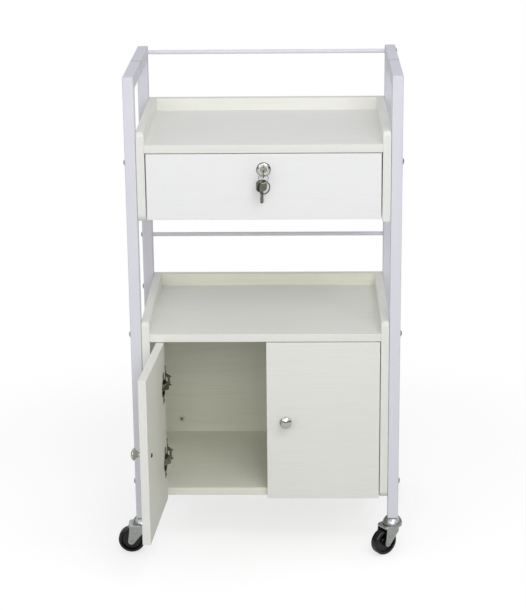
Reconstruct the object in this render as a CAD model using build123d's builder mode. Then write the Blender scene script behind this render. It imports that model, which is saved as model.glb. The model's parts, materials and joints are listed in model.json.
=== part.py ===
"""Salon trolley: two shelf units with raised edges carried between tube uprights on four casters.

The upper unit holds a drawer on runners with a cam lock, the lower one a cabinet with two doors.
X points to the right, Y to the rear and Z up. The origin is on the floor, midway between the
swivel axes of the four casters. Sizes are in millimetres.
"""
from build123d import *
import math
import os

os.makedirs("parts", exist_ok=True)

# Two lengths this close count as the same
SAME = 0.01

# Overall frame
FRAME_WIDTH = 500.0
FRAME_DEPTH = 330.0
FRAME_HEIGHT = 925.0
TUBE_WIDE = 20.0
TUBE_DEEP = 25.0
TUBE_WALL = 1.2
TUBE_CORNER = 2.0
TUBE_BOTTOM = 74.5
RAIL_SEAM = 1.8
SLEEVE_LENGTH = 100.0
SLEEVE_WALL = 1.5
SLEEVE_FIT = 0.05
CROSSBAR_DIAMETER = 8.0
CROSSBAR_TOP_DROP = 10.0
CROSSBAR_MIDDLE_SHARE = 0.43

# Boards and the two units
BOARD = 15.0
PANEL_GAP = 0.5
PANEL_INSET = 2.0
PANEL_FRONT_RADIUS = 15.0
EDGE_ROUND = 1.0
LIP = 24.0
UPPER_DROP = 100.0
UPPER_HEIGHT = 167.0
LOWER_BOTTOM_Z = 113.5
LOWER_HEIGHT = 353.5
FLOOR_SETBACK = 1.4

# Bolts through the uprights
UPPER_BOLT_RISE = 109.5
LOWER_BOLT_DROP = 26.0
LOWER_BOLT_RISE = 32.5
BOLT_SHANK = 5.0
BOLT_HEAD = 12.0
BOLT_HEAD_RISE = 3.5
BOLT_SOCKET = 3.2
BOLT_SOCKET_DEPTH = 2.0
BOLT_HEAD_EDGE = 0.7
BOLT_CLEARANCE = 0.25
PANEL_BOLT_GRIP = 11.5
ROD_BOLT_GRIP = 16.0
INSERT_DIAMETER = 9.0
INSERT_LENGTH = 12.0

# Cam fittings that join the boards
CAM_DIAMETER = 15.0
CAM_HEIGHT = 12.0
CAM_SETBACK = 34.0
CAM_BOLT = 7.0
CAM_BOLT_SEAT = 11.0
CAM_FIT = 0.1
CAM_DRIVE = 6.0
CAM_DRIVE_SLOT = 1.4
CAM_DRIVE_DEPTH = 2.5
CAM_ROW_END = 43.0
CAM_END = 42.0

# Drawer
FRONT_GAP = 2.0
FRONT_TOP_GAP = 1.5
FRONT_BOTTOM_RISE = 4.5
RUNNER_SPACE = 12.7
BOX_SIDE = 12.0
BOX_BACK_GAP = 18.0
BOX_RISE = 14.0
BOX_SIDE_HEIGHT = 92.0
BOX_PANEL = 3.0
BOX_PANEL_RISE = 8.0
GROOVE_DEPTH = 5.0
GROOVE_FIT = 0.1

# Drawer runners
RUNNER_BACK_GAP = 14.5
RUNNER_RISE = 54.0
RUNNER_SETBACK = 1.5
RUNNER_SHEET = 1.2
CHANNEL_HEIGHT = 24.0
CHANNEL_FLANGE = 9.0
CHANNEL_MOUTH = 15.2
MEMBER_HEIGHT = 14.0
MEMBER_REACH = 9.7
MEMBER_SPAN = 20.6

# Lock
LOCK_DROP = 28.5
LOCK_RIM = 26.0
LOCK_RIM_RISE = 3.0
LOCK_FACE = 19.0
LOCK_FACE_RISE = 5.0
LOCK_BARREL = 16.0
LOCK_BORE_FIT = 0.2
LOCK_CORE = 12.0
CORE_FIT = 0.05
LOCK_NUT = 22.0
LOCK_NUT_THICK = 4.0
CORE_TAIL = 7.0
CORE_HEAD_THICK = 1.5
TONGUE_REACH = 39.0
TONGUE_WIDE = 14.0
TONGUE_THICK = 2.0
TONGUE_GAP = 0.4
TONGUE_SLOT_GAP = 1.0
TONGUE_SLOT_HALF = 28.0
TONGUE_SLOT_DEPTH = 11.0
KEYWAY_GAP = 0.2

# Keys and rings
KEY_THICK = 2.0
KEY_BOW_WIDE = 22.0
KEY_BOW_LONG = 21.0
KEY_BOW_ROUND = 6.0
KEY_BLADE_WIDE = 7.0
KEY_BLADE_LONG = 23.0
KEY_NECK = 2.0
KEY_TIP_CHAMFER = 2.1
KEY_HOLE_ROUND = 1.62
KEY_SEAT_GAP = 0.5
KEY_HOLE_WIDE = 7.0
KEY_HOLE_LONG = 5.4
KEY_HOLE_SETBACK = 5.5
RING_DIAMETER = 19.0
RING_WIRE = 1.3
RING_HANG_GAP = 0.3
SPLIT_RING_DIAMETER = 24.6
SPLIT_RING_WIRE = 1.9
SPLIT_RING_DEPTH = 1.8
SPLIT_RING_ROUND = 0.57
SPLIT_RING_GAP = 1.15
SPLIT_RING_X = 1.4
SPARE_KEY_X = -3.6
BUNCH_TURN = 32.0

# Doors
DOOR_GAP = 1.5
DOOR_TOP_GAP = 1.5
DOOR_OPEN = 94.5
PIVOT_INSET = 6.3
PIVOT_AHEAD = 3.0
HINGE_END = 82.0

# Cup hinges
CUP_DIAMETER = 35.0
CUP_CENTRE = 21.5
CUP_DEPTH = 12.0
CUP_WALL = 1.2
CUP_FIT = 0.1
FLANGE_LONG = 62.0
FLANGE_WIDE = 14.0
FLANGE_THICK = 1.0
FLANGE_ROUND = 6.3
EAR_WIDE = 11.0
EAR_OFFSET = 2.0
EAR_RISE = 8.5
EAR_GAP = 0.3
NOSE_X = 24.5
NOSE_Y = 24.5
NOSE_RADIUS = 4.5
ARM_WIDE = 18.0
ARM_SHEET = 1.6
ARM_LENGTH = 60.0
ARM_RISE = 22.0
CHEEK_BACK = 24.0
PIN_DIAMETER = 2.6
PIN_FIT = 0.05
LINK_WIDE = 13.0
LINK_THICK = 2.4
LINK_LENGTH = 46.0
LINK_CRANK_NEAR = (7.0, 1.2)
LINK_CRANK_FAR = (27.5, 8.4)
LINK_BEND = 3.6
LINK_BARREL = 3.8
LINK_OPEN_ANGLE = -105.6
LINK_RATIO = 1.06
PLATE_LONG = 40.0
PLATE_WIDE = 38.0
PLATE_THICK = 3.0
PLATE_CORNER = 4.0

# Knobs
KNOB_DIAMETER = 23.0
KNOB_REACH = 23.0
KNOB_BASE = 12.0
KNOB_BASE_THICK = 1.5
KNOB_BASE_SLOPE = 1.5
KNOB_NECK = 8.0
KNOB_NECK_LONG = 8.0
KNOB_CROWN = 19.0
KNOB_CROWN_RISE = 4.0
KNOB_EDGE = 35.5
KNOB_RISE = 160.5
KNOB_SCREW = 4.0
KNOB_SCREW_BITE = 12.0
KNOB_SCREW_HEAD = 8.5
KNOB_SCREW_RISE = 2.2
KNOB_SCREW_ROUND = 1.32
KNOB_SCREW_CLEARANCE = 0.25
KNOB_SCREW_SPARE = 0.5

# Casters
WHEEL_DIAMETER = 50.8
WHEEL_WIDTH = 18.0
TREAD_EDGE = 4.0
RIM_INNER = 37.0
RIM_SLOPE = 1.2
WHEEL_WEB = 8.0
HUB_DIAMETER = 15.0
HUB_GAP = 0.4
HUB_SLOPE = 1.0
AXLE_DIAMETER = 5.0
AXLE_FIT = 0.08
CASTER_TRAIL = 20.9
FORK_INNER = 26.0
FORK_SHEET = 2.0
CROWN_TOP_Z = 59.0
CROWN_LIP = 4.5
CROWN_SIDE = 1.0
CROWN_FRONT = 26.0
CROWN_BACK = 18.0
CROWN_CORNER = 7.0
CROWN_ROUND = 1.6
LEG_TIP = 6.2
LEG_BACK = 4.0
LEG_HEEL_Z = 46.0
LEG_HEEL_ANGLE = 30.0
LEG_SHOULDER = 7.0
RIVET_HEAD = 6.8
RIVET_RISE = 1.2
DOME_DIAMETER = 37.5
DOME_WALL = 2.0
DOME_NECK = 20.6
DOME_SHOULDER = 32.2
DOME_SHOULDER_DROP = 6.0
DOME_RIM = 1.0
RACE_GAP = 0.4
KING_PIN = 8.0
KING_HEAD = 14.0
KING_HEAD_THICK = 2.0
KING_HEAD_TAPER = 1.5
STEM_DIAMETER = 11.0
STEM_LENGTH = 30.0
STEM_CHAMFER = 1.0
SOCKET_LENGTH = 32.0
SOCKET_FLANGE = 1.5

# The way each caster trails at rest, as an angle from +X
CASTER_HEADINGS = {
    "front_left": 180.0,
    "front_right": 216.0,
    "rear_left": 25.0,
    "rear_right": 150.0,
}

# Places worked out from the sizes above
UPRIGHT_X = (FRAME_WIDTH - TUBE_WIDE) / 2
UPRIGHT_Y = (FRAME_DEPTH - TUBE_DEEP) / 2
INSIDE_X = FRAME_WIDTH / 2 - TUBE_WIDE
RAIL_Z = FRAME_HEIGHT - TUBE_DEEP / 2
PANEL_OUT = INSIDE_X - PANEL_GAP
PANEL_IN = PANEL_OUT - BOARD
REAR_Y = FRAME_DEPTH / 2 - PANEL_INSET
FRONT_Y = -REAR_Y
BACK_Y = REAR_Y - BOARD
FRONT_IN_Y = FRONT_Y + BOARD
UPPER_TOP_Z = FRAME_HEIGHT - UPPER_DROP
UPPER_BOTTOM_Z = UPPER_TOP_Z - UPPER_HEIGHT
LOWER_TOP_Z = LOWER_BOTTOM_Z + LOWER_HEIGHT
UPPER_SHELF_Z = UPPER_TOP_Z - LIP - BOARD
LOWER_SHELF_Z = LOWER_TOP_Z - LIP - BOARD
CROSSBAR_TOP_Z = FRAME_HEIGHT - CROSSBAR_TOP_DROP
CROSSBAR_MIDDLE_Z = LOWER_TOP_Z + CROSSBAR_MIDDLE_SHARE * (UPPER_BOTTOM_Z - LOWER_TOP_Z)
BOLT_HEIGHTS = (
    UPPER_BOTTOM_Z + UPPER_BOLT_RISE,
    LOWER_TOP_Z - LOWER_BOLT_DROP,
    LOWER_BOTTOM_Z + LOWER_BOLT_RISE,
)
CAM_ROW_Y = BACK_Y - CAM_ROW_END
WHEEL_Z = WHEEL_DIAMETER / 2
CASTER_PLACES = {
    "front_left": (-UPRIGHT_X, -UPRIGHT_Y),
    "front_right": (UPRIGHT_X, -UPRIGHT_Y),
    "rear_left": (-UPRIGHT_X, UPRIGHT_Y),
    "rear_right": (UPRIGHT_X, UPRIGHT_Y),
}
BOX_OUT = PANEL_IN - RUNNER_SPACE
BOX_IN = BOX_OUT - BOX_SIDE
BOX_REAR = BACK_Y - BOX_BACK_GAP
BOX_DEPTH = BOX_REAR - FRONT_IN_Y
BOX_BOTTOM_Z = UPPER_BOTTOM_Z + BOX_RISE
RUNNER_LENGTH = BACK_Y - RUNNER_BACK_GAP - FRONT_IN_Y - RUNNER_SETBACK
RUNNER_Z = UPPER_BOTTOM_Z + RUNNER_RISE
BOX_PANEL_Z = BOX_BOTTOM_Z + BOX_PANEL_RISE
DRAWER_HALF = PANEL_IN - FRONT_GAP
DRAWER_BOTTOM = UPPER_BOTTOM_Z + FRONT_BOTTOM_RISE
DRAWER_TOP = UPPER_SHELF_Z - FRONT_TOP_GAP
LOCK_Z = DRAWER_TOP - LOCK_DROP
TONGUE_Y = FRONT_IN_Y + LOCK_NUT_THICK + TONGUE_GAP
KEY_Y = FRONT_Y - LOCK_FACE_RISE - KEY_SEAT_GAP - (KEY_BOW_LONG - KEY_HOLE_SETBACK)
RING_RADIUS = (RING_DIAMETER - RING_WIRE) / 2
RING_Z = LOCK_Z - KEY_HOLE_WIDE / 2 + RING_WIRE / 2 + RING_HANG_GAP - RING_RADIUS
DOOR_TOP = LOWER_SHELF_Z - DOOR_TOP_GAP
DOOR_OUT = PANEL_IN - DOOR_GAP
DOOR_IN = DOOR_GAP
KNOB_Z = LOWER_BOTTOM_Z + KNOB_RISE
PIVOT_X = DOOR_OUT - PIVOT_INSET
PIVOT_Y = FRONT_Y - PIVOT_AHEAD
HINGE_HEIGHTS = (LOWER_BOTTOM_Z + HINGE_END, DOOR_TOP - HINGE_END)


def save(part, name):
    """Label a finished piece and write it under its own name."""
    part.label = name
    export_step(part, "parts/" + name + ".step")


def facing_front(y):
    """A sketch plane at depth y, with X to the right and Z up, that extrudes towards the front."""
    return Plane.XZ.offset(-y)


def facing_right(x):
    """A sketch plane at x, with Y to the right and Z up, that extrudes towards +X."""
    return Plane.YZ.offset(x)


def cap_middle(half, rise):
    """The half-way point of a round cap's profile, as its distance from the axis and from the cap's base."""
    radius = (half ** 2 + rise ** 2) / (2 * rise)
    turn = math.asin(half / radius) / 2
    return radius * math.sin(turn), rise - radius * (1 - math.cos(turn))


def ring_depth(radius, x):
    """How far a ring's wire lies below its centre at the sideways place x."""
    return (radius ** 2 - x ** 2) ** 0.5


# Frame

def side_frame_half(side, end):
    """One upright with its half of the top rail: side is -1 left, 1 right; end is -1 front, 1 rear."""
    x = side * UPRIGHT_X
    y = end * UPRIGHT_Y
    seam = end * RAIL_SEAM / 2
    rail_middle = end * (FRAME_DEPTH / 2 + RAIL_SEAM / 2) / 2
    rail_length = FRAME_DEPTH / 2 - RAIL_SEAM / 2
    middle_z = (TUBE_BOTTOM + FRAME_HEIGHT) / 2
    tall = FRAME_HEIGHT - TUBE_BOTTOM
    with BuildPart() as half:
        with BuildSketch(facing_right(x - TUBE_WIDE / 2)):
            with Locations((y, middle_z)):
                Rectangle(TUBE_DEEP, tall)
            with Locations((rail_middle, RAIL_Z)):
                Rectangle(rail_length, TUBE_DEEP)
        extrude(amount=TUBE_WIDE)
        edges = half.faces().filter_by(Axis.X).edges()
        ends = [e for e in edges if abs(e.center().Y - seam) < SAME or e.center().Z < TUBE_BOTTOM + SAME]
        fillet([e for e in edges if e not in ends], TUBE_CORNER)
        with BuildSketch(facing_right(x - TUBE_WIDE / 2 + TUBE_WALL)):
            with Locations((y, middle_z - TUBE_WALL)):
                Rectangle(TUBE_DEEP - 2 * TUBE_WALL, tall)
            with Locations((rail_middle - end * TUBE_WALL, RAIL_Z)):
                Rectangle(rail_length, TUBE_DEEP - 2 * TUBE_WALL)
        extrude(amount=TUBE_WIDE - 2 * TUBE_WALL, mode=Mode.SUBTRACT)
        heights = BOLT_HEIGHTS if end < 0 else BOLT_HEIGHTS + (CROSSBAR_TOP_Z, CROSSBAR_MIDDLE_Z)
        with BuildSketch(facing_right(x - TUBE_WIDE)):
            with Locations(*[(y, height) for height in heights]):
                Circle(BOLT_SHANK / 2 + BOLT_CLEARANCE)
        extrude(amount=2 * TUBE_WIDE, mode=Mode.SUBTRACT)
    return half.part


def rail_sleeves():
    """Two inner tubes that join the rail halves behind their seams."""
    wide = TUBE_WIDE - 2 * (TUBE_WALL + SLEEVE_FIT)
    deep = TUBE_DEEP - 2 * (TUBE_WALL + SLEEVE_FIT)
    with BuildPart() as sleeves:
        with BuildSketch(facing_front(SLEEVE_LENGTH / 2)):
            with Locations((-UPRIGHT_X, RAIL_Z), (UPRIGHT_X, RAIL_Z)):
                Rectangle(wide, deep)
                Rectangle(wide - 2 * SLEEVE_WALL, deep - 2 * SLEEVE_WALL, mode=Mode.SUBTRACT)
        extrude(amount=SLEEVE_LENGTH)
    return sleeves.part


def crossbar(height):
    """A round rod between the rear uprights, bored at both ends for its bolts."""
    with BuildPart() as rod:
        with BuildSketch(facing_right(-INSIDE_X)):
            with Locations((UPRIGHT_Y, height)):
                Circle(CROSSBAR_DIAMETER / 2)
        extrude(amount=2 * INSIDE_X)
        for start in (-INSIDE_X, INSIDE_X - ROD_BOLT_GRIP):
            with BuildSketch(facing_right(start)):
                with Locations((UPRIGHT_Y, height)):
                    Circle(BOLT_SHANK / 2)
            extrude(amount=ROD_BOLT_GRIP, mode=Mode.SUBTRACT)
    return rod.part


def dome_bolt(reach):
    """A button-head bolt along +X, with the seat of its head at the origin."""
    head = BOLT_HEAD / 2
    edge = BOLT_HEAD_EDGE
    out, up = cap_middle(head, BOLT_HEAD_RISE - edge)
    with BuildPart() as bolt:
        with BuildSketch(Plane.XZ):
            with BuildLine():
                Polyline((-BOLT_HEAD_RISE, 0), (reach, 0), (reach, BOLT_SHANK / 2), (0, BOLT_SHANK / 2),
                         (0, head), (-edge, head))
                ThreePointArc((-edge, head), (-edge - up, out), (-BOLT_HEAD_RISE, 0))
            make_face()
        revolve(axis=Axis.X)
        with BuildSketch(facing_right(-BOLT_HEAD_RISE)):
            RegularPolygon(BOLT_SOCKET / 2, 6)
        extrude(amount=BOLT_SOCKET_DEPTH, mode=Mode.SUBTRACT)
    return bolt.part


def frame_bolts():
    """Twelve bolts through the uprights into the panels and four into the ends of the crossbars."""
    panel_bolt = dome_bolt(TUBE_WIDE + PANEL_GAP + PANEL_BOLT_GRIP)
    rod_bolt = dome_bolt(TUBE_WIDE + ROD_BOLT_GRIP)
    bolts = []
    for side in (-1, 1):
        x = side * FRAME_WIDTH / 2
        turn = Rot(0, 0, 0 if side < 0 else 180)
        for height in BOLT_HEIGHTS:
            bolts += [Pos(x, end * UPRIGHT_Y, height) * turn * panel_bolt for end in (-1, 1)]
        bolts += [Pos(x, UPRIGHT_Y, z) * turn * rod_bolt for z in (CROSSBAR_TOP_Z, CROSSBAR_MIDDLE_Z)]
    return Compound(children=bolts)


def panel_inserts():
    """Threaded inserts in the side panels, bored for the bolts."""
    with BuildPart() as inserts:
        for start in (-PANEL_OUT, PANEL_OUT - INSERT_LENGTH):
            with BuildSketch(facing_right(start)):
                for height in BOLT_HEIGHTS:
                    with Locations((-UPRIGHT_Y, height), (UPRIGHT_Y, height)):
                        Circle(INSERT_DIAMETER / 2)
                        Circle(BOLT_SHANK / 2, mode=Mode.SUBTRACT)
            extrude(amount=INSERT_LENGTH)
    return inserts.part


# Casters

def caster_sockets():
    """Plastic plugs that hold the stems in the open ends of the tubes."""
    spots = list(CASTER_PLACES.values())
    with BuildPart() as sockets:
        with BuildSketch(Plane.XY.offset(TUBE_BOTTOM)):
            with Locations(*spots):
                Rectangle(TUBE_WIDE - 2 * TUBE_WALL, TUBE_DEEP - 2 * TUBE_WALL)
        extrude(amount=SOCKET_LENGTH)
        with BuildSketch(Plane.XY.offset(TUBE_BOTTOM)):
            with Locations(*spots):
                RectangleRounded(TUBE_WIDE, TUBE_DEEP, TUBE_CORNER)
        extrude(amount=-SOCKET_FLANGE)
        with BuildSketch(Plane.XY.offset(TUBE_BOTTOM - SOCKET_FLANGE)):
            with Locations(*spots):
                Circle(STEM_DIAMETER / 2)
        extrude(amount=SOCKET_LENGTH + SOCKET_FLANGE, mode=Mode.SUBTRACT)
    return sockets.part


def caster_stem():
    """One caster's fixed half on the Z axis: stem, dome-shaped upper race and king pin with its head."""
    top = TUBE_BOTTOM - SOCKET_FLANGE
    low = CROWN_TOP_Z + RACE_GAP
    roof = low + DOME_WALL
    under = CROWN_TOP_Z - FORK_SHEET - RACE_GAP
    rim = DOME_DIAMETER / 2
    stem_top = top + STEM_LENGTH
    stem_side = STEM_DIAMETER / 2
    with BuildPart() as stem:
        with BuildSketch(Plane.XZ):
            with BuildLine():
                Polyline((0, stem_top), (stem_side - STEM_CHAMFER, stem_top),
                         (stem_side, stem_top - STEM_CHAMFER), (stem_side, top), (DOME_NECK / 2, top))
                ThreePointArc((DOME_NECK / 2, top), (DOME_SHOULDER / 2, top - DOME_SHOULDER_DROP),
                              (rim, low + DOME_RIM))
                Polyline((rim, low + DOME_RIM), (rim, low), (rim - DOME_WALL, low), (rim - DOME_WALL, roof),
                         (KING_PIN / 2, roof), (KING_PIN / 2, under), (KING_HEAD / 2, under),
                         (KING_HEAD / 2 - KING_HEAD_TAPER, under - KING_HEAD_THICK),
                         (0, under - KING_HEAD_THICK), (0, stem_top))
            make_face()
        revolve(axis=Axis.Z)
    return stem.part


def caster_stems():
    """The fixed halves of all four casters."""
    one = caster_stem()
    return Compound(children=[Pos(x, y, 0) * one for x, y in CASTER_PLACES.values()])


def crown_outline(inset):
    """Sketch the crown's outline, drawn in by inset: round at the back, a rounded bar at the front."""
    corner = CROWN_CORNER - inset
    bar = FORK_INNER / 2 + FORK_SHEET + CROWN_SIDE - CROWN_CORNER
    Circle(CROWN_BACK - inset)
    with Locations((CROWN_FRONT - CROWN_CORNER, bar), (CROWN_FRONT - CROWN_CORNER, -bar)):
        Circle(corner)
    make_hull()


def caster_fork():
    """A pressed fork that trails along +X from the swivel axis, with its riveted axle."""
    outer = FORK_INNER / 2 + FORK_SHEET
    under = CROWN_TOP_Z - FORK_SHEET
    tip = CASTER_TRAIL + LEG_TIP
    turn = math.radians(LEG_HEEL_ANGLE)
    heel = (CASTER_TRAIL - LEG_TIP * math.cos(turn), WHEEL_Z - LEG_TIP * math.sin(turn))
    with BuildPart() as fork:
        with BuildSketch(Plane.XY.offset(CROWN_TOP_Z - CROWN_LIP)):
            crown_outline(0)
        extrude(amount=CROWN_LIP)
        fillet(fork.faces().sort_by(Axis.Z)[-1].edges(), CROWN_ROUND)
        with BuildSketch(Plane.XY.offset(CROWN_TOP_Z - CROWN_LIP)):
            crown_outline(FORK_SHEET)
        extrude(amount=CROWN_LIP - FORK_SHEET, mode=Mode.SUBTRACT)
        for start in (-outer, outer - FORK_SHEET):
            with BuildSketch(facing_front(start)):
                with BuildLine():
                    Polyline(heel, (-LEG_BACK, LEG_HEEL_Z), (-LEG_BACK, under),
                             (CROWN_FRONT - FORK_SHEET, under),
                             (CROWN_FRONT - FORK_SHEET, under - LEG_SHOULDER), (tip, WHEEL_Z))
                    ThreePointArc((tip, WHEEL_Z), (CASTER_TRAIL, WHEEL_Z - LEG_TIP), heel)
                make_face()
            extrude(amount=-FORK_SHEET)
        with BuildSketch(Plane.XY.offset(under)):
            Circle(KING_PIN / 2 + RACE_GAP)
        extrude(amount=FORK_SHEET, mode=Mode.SUBTRACT)
        with BuildSketch(facing_front(outer)):
            with Locations((CASTER_TRAIL, WHEEL_Z)):
                Circle(AXLE_DIAMETER / 2)
        extrude(amount=2 * outer)
        for start in (outer, -outer - RIVET_RISE):
            with BuildSketch(facing_front(start)):
                with Locations((CASTER_TRAIL, WHEEL_Z)):
                    Circle(RIVET_HEAD / 2)
            extrude(amount=-RIVET_RISE)
    return fork.part


def caster_wheel():
    """A moulded wheel on the Y axis: rounded tread, raised rim, recessed web and hub."""
    radius = WHEEL_DIAMETER / 2
    half = WHEEL_WIDTH / 2
    rim = RIM_INNER / 2
    hub = HUB_DIAMETER / 2
    web = WHEEL_WEB / 2
    bore = AXLE_DIAMETER / 2 + AXLE_FIT
    hub_half = FORK_INNER / 2 - HUB_GAP
    bend = TREAD_EDGE * (1 - 0.5 ** 0.5)
    with BuildPart() as wheel:
        with BuildSketch(Plane.XY):
            for face in (1, -1):
                with BuildLine():
                    Polyline((radius, 0), (radius, face * (half - TREAD_EDGE)))
                    ThreePointArc((radius, face * (half - TREAD_EDGE)), (radius - bend, face * (half - bend)),
                                  (radius - TREAD_EDGE, face * half))
                    Polyline((radius - TREAD_EDGE, face * half), (rim + RIM_SLOPE, face * half),
                             (rim, face * web), (hub, face * web), (hub - HUB_SLOPE, face * hub_half),
                             (bore, face * hub_half), (bore, 0), (radius, 0))
                make_face()
        revolve(axis=Axis.Y)
    return wheel.part


def caster_turn(name):
    """The placement of one caster's swivelling half."""
    x, y = CASTER_PLACES[name]
    return Pos(x, y, 0) * Rot(0, 0, CASTER_HEADINGS[name])


# Boards

def cam_heights(bottom, top):
    """Heights of the cams that hold a back panel of the given span."""
    return (bottom + CAM_END, top - CAM_END)


def cam_places():
    """Sideways and depth places of the cams in a level board."""
    x = PANEL_IN - CAM_SETBACK
    return [(side * x, row) for side in (-1, 1) for row in (-CAM_ROW_Y, CAM_ROW_Y)]


def side_panel(side, bottom, top, levels):
    """A side panel with its rounded front top corner; levels are the undersides of the boards it holds."""
    start = -PANEL_OUT if side < 0 else PANEL_IN
    insert_start = -PANEL_OUT if side < 0 else PANEL_OUT - INSERT_LENGTH
    spots = [(BACK_Y + BOARD / 2, z) for z in cam_heights(bottom, top)]
    spots += [(row, level + BOARD / 2) for level in levels for row in (-CAM_ROW_Y, CAM_ROW_Y)]
    heights = [height for height in BOLT_HEIGHTS if bottom < height < top]
    with BuildPart() as panel:
        with BuildSketch(facing_right(start)) as face:
            with Locations((0, (bottom + top) / 2)):
                Rectangle(REAR_Y - FRONT_Y, top - bottom)
            fillet(face.vertices().group_by(Axis.Z)[-1].sort_by(Axis.Y)[0], PANEL_FRONT_RADIUS)
        extrude(amount=BOARD)
        fillet(panel.edges().group_by(Axis.Y)[0].filter_by(Axis.Z), EDGE_ROUND)
        with BuildSketch(facing_right(insert_start)):
            for height in heights:
                with Locations((-UPRIGHT_Y, height), (UPRIGHT_Y, height)):
                    Circle(INSERT_DIAMETER / 2)
        extrude(amount=INSERT_LENGTH, mode=Mode.SUBTRACT)
        with BuildSketch(facing_right(side * PANEL_IN)):
            with Locations(*spots):
                Circle(CAM_BOLT / 2)
        extrude(amount=side * CAM_BOLT_SEAT, mode=Mode.SUBTRACT)
    return panel.part


def level_board(bottom, front, tongue_slot):
    """A shelf or floor board between the side panels, with its cam bores and edge bores."""
    with BuildPart() as board:
        with BuildSketch(Plane.XY.offset(bottom)):
            with Locations((0, (front + BACK_Y) / 2)):
                Rectangle(2 * PANEL_IN, BACK_Y - front)
        extrude(amount=BOARD)
        fillet(board.edges().group_by(Axis.Y)[0].filter_by(Axis.X), EDGE_ROUND)
        with BuildSketch(Plane.XY.offset(bottom)):
            with Locations(*cam_places()):
                Circle(CAM_DIAMETER / 2 + CAM_FIT)
        extrude(amount=CAM_HEIGHT + CAM_FIT, mode=Mode.SUBTRACT)
        for start in (-PANEL_IN, PANEL_IN - CAM_SETBACK):
            with BuildSketch(facing_right(start)):
                with Locations((-CAM_ROW_Y, bottom + BOARD / 2), (CAM_ROW_Y, bottom + BOARD / 2)):
                    Circle(CAM_BOLT / 2 + CAM_FIT)
            extrude(amount=CAM_SETBACK, mode=Mode.SUBTRACT)
        if tongue_slot:
            with BuildSketch(Plane.XY.offset(bottom)):
                with Locations((0, TONGUE_Y + TONGUE_THICK / 2)):
                    Rectangle(2 * TONGUE_SLOT_HALF, TONGUE_THICK + 2 * TONGUE_SLOT_GAP)
            extrude(amount=TONGUE_SLOT_DEPTH, mode=Mode.SUBTRACT)
    return board.part


def back_panel(bottom, top):
    """A unit's back board over its full height, with its cam bores on the inner face."""
    heights = cam_heights(bottom, top)
    x = PANEL_IN - CAM_SETBACK
    with BuildPart() as back:
        with BuildSketch(facing_front(REAR_Y)):
            with Locations((0, (bottom + top) / 2)):
                Rectangle(2 * PANEL_IN, top - bottom)
        extrude(amount=BOARD)
        with BuildSketch(facing_front(BACK_Y)):
            with Locations(*[(side * x, z) for side in (-1, 1) for z in heights]):
                Circle(CAM_DIAMETER / 2 + CAM_FIT)
        extrude(amount=-CAM_HEIGHT - CAM_FIT, mode=Mode.SUBTRACT)
        for start in (-PANEL_IN, PANEL_IN - CAM_SETBACK):
            with BuildSketch(facing_right(start)):
                with Locations(*[(BACK_Y + BOARD / 2, z) for z in heights]):
                    Circle(CAM_BOLT / 2 + CAM_FIT)
            extrude(amount=CAM_SETBACK, mode=Mode.SUBTRACT)
    return back.part


def board_cam():
    """One cam, its open face at the origin and its body along +Z, entered by the bolt from +X."""
    with BuildPart() as cam:
        with BuildSketch(Plane.XY):
            Circle(CAM_DIAMETER / 2)
        extrude(amount=CAM_HEIGHT)
        with BuildSketch(Plane.XY):
            Rectangle(CAM_DRIVE, CAM_DRIVE_SLOT)
            Rectangle(CAM_DRIVE_SLOT, CAM_DRIVE)
        extrude(amount=CAM_DRIVE_DEPTH, mode=Mode.SUBTRACT)
        with BuildSketch(Plane.YZ):
            with Locations((0, BOARD / 2)):
                Circle(CAM_BOLT / 2 + CAM_FIT)
        extrude(amount=CAM_DIAMETER, mode=Mode.SUBTRACT)
    return cam.part


def cam_seats():
    """Placements of all cams: on the back panels' inner faces and under the level boards."""
    seats = []
    for bottom, top in ((UPPER_BOTTOM_Z, UPPER_TOP_Z), (LOWER_BOTTOM_Z, LOWER_TOP_Z)):
        for height in cam_heights(bottom, top):
            for side in (-1, 1):
                facing = Rot(-90, 0, 0) * Rot(0, 0, 0 if side > 0 else 180)
                seats.append((side, Pos(side * (PANEL_IN - CAM_SETBACK), BACK_Y, height) * facing))
    for level in (UPPER_SHELF_Z, LOWER_SHELF_Z, LOWER_BOTTOM_Z):
        for x, row in cam_places():
            side = 1 if x > 0 else -1
            seats.append((side, Pos(x, row, level) * Rot(0, 0, 0 if side > 0 else 180)))
    return seats


def cam_fittings():
    """All cams, each turned towards its side panel."""
    one = board_cam()
    return Compound(children=[seat * one for _, seat in cam_seats()])


def cam_bolts():
    """The bolts that run from the side panels into the cams."""
    with BuildPart() as bolt:
        with BuildSketch(facing_right(0)):
            with Locations((0, BOARD / 2)):
                Circle(CAM_BOLT / 2)
        extrude(amount=CAM_SETBACK + CAM_BOLT_SEAT)
    return Compound(children=[seat * bolt.part for _, seat in cam_seats()])


# Drawer

def drawer_front():
    """The drawer's front board, bored for the lock."""
    with BuildPart() as front:
        with BuildSketch(facing_front(FRONT_IN_Y)):
            with Locations((0, (DRAWER_BOTTOM + DRAWER_TOP) / 2)):
                Rectangle(2 * DRAWER_HALF, DRAWER_TOP - DRAWER_BOTTOM)
        extrude(amount=BOARD)
        fillet(front.faces().sort_by(Axis.Y)[0].edges(), EDGE_ROUND)
        with BuildSketch(facing_front(FRONT_IN_Y)):
            with Locations((0, LOCK_Z)):
                Circle(LOCK_BARREL / 2 + LOCK_BORE_FIT)
        extrude(amount=BOARD, mode=Mode.SUBTRACT)
    return front.part


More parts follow.
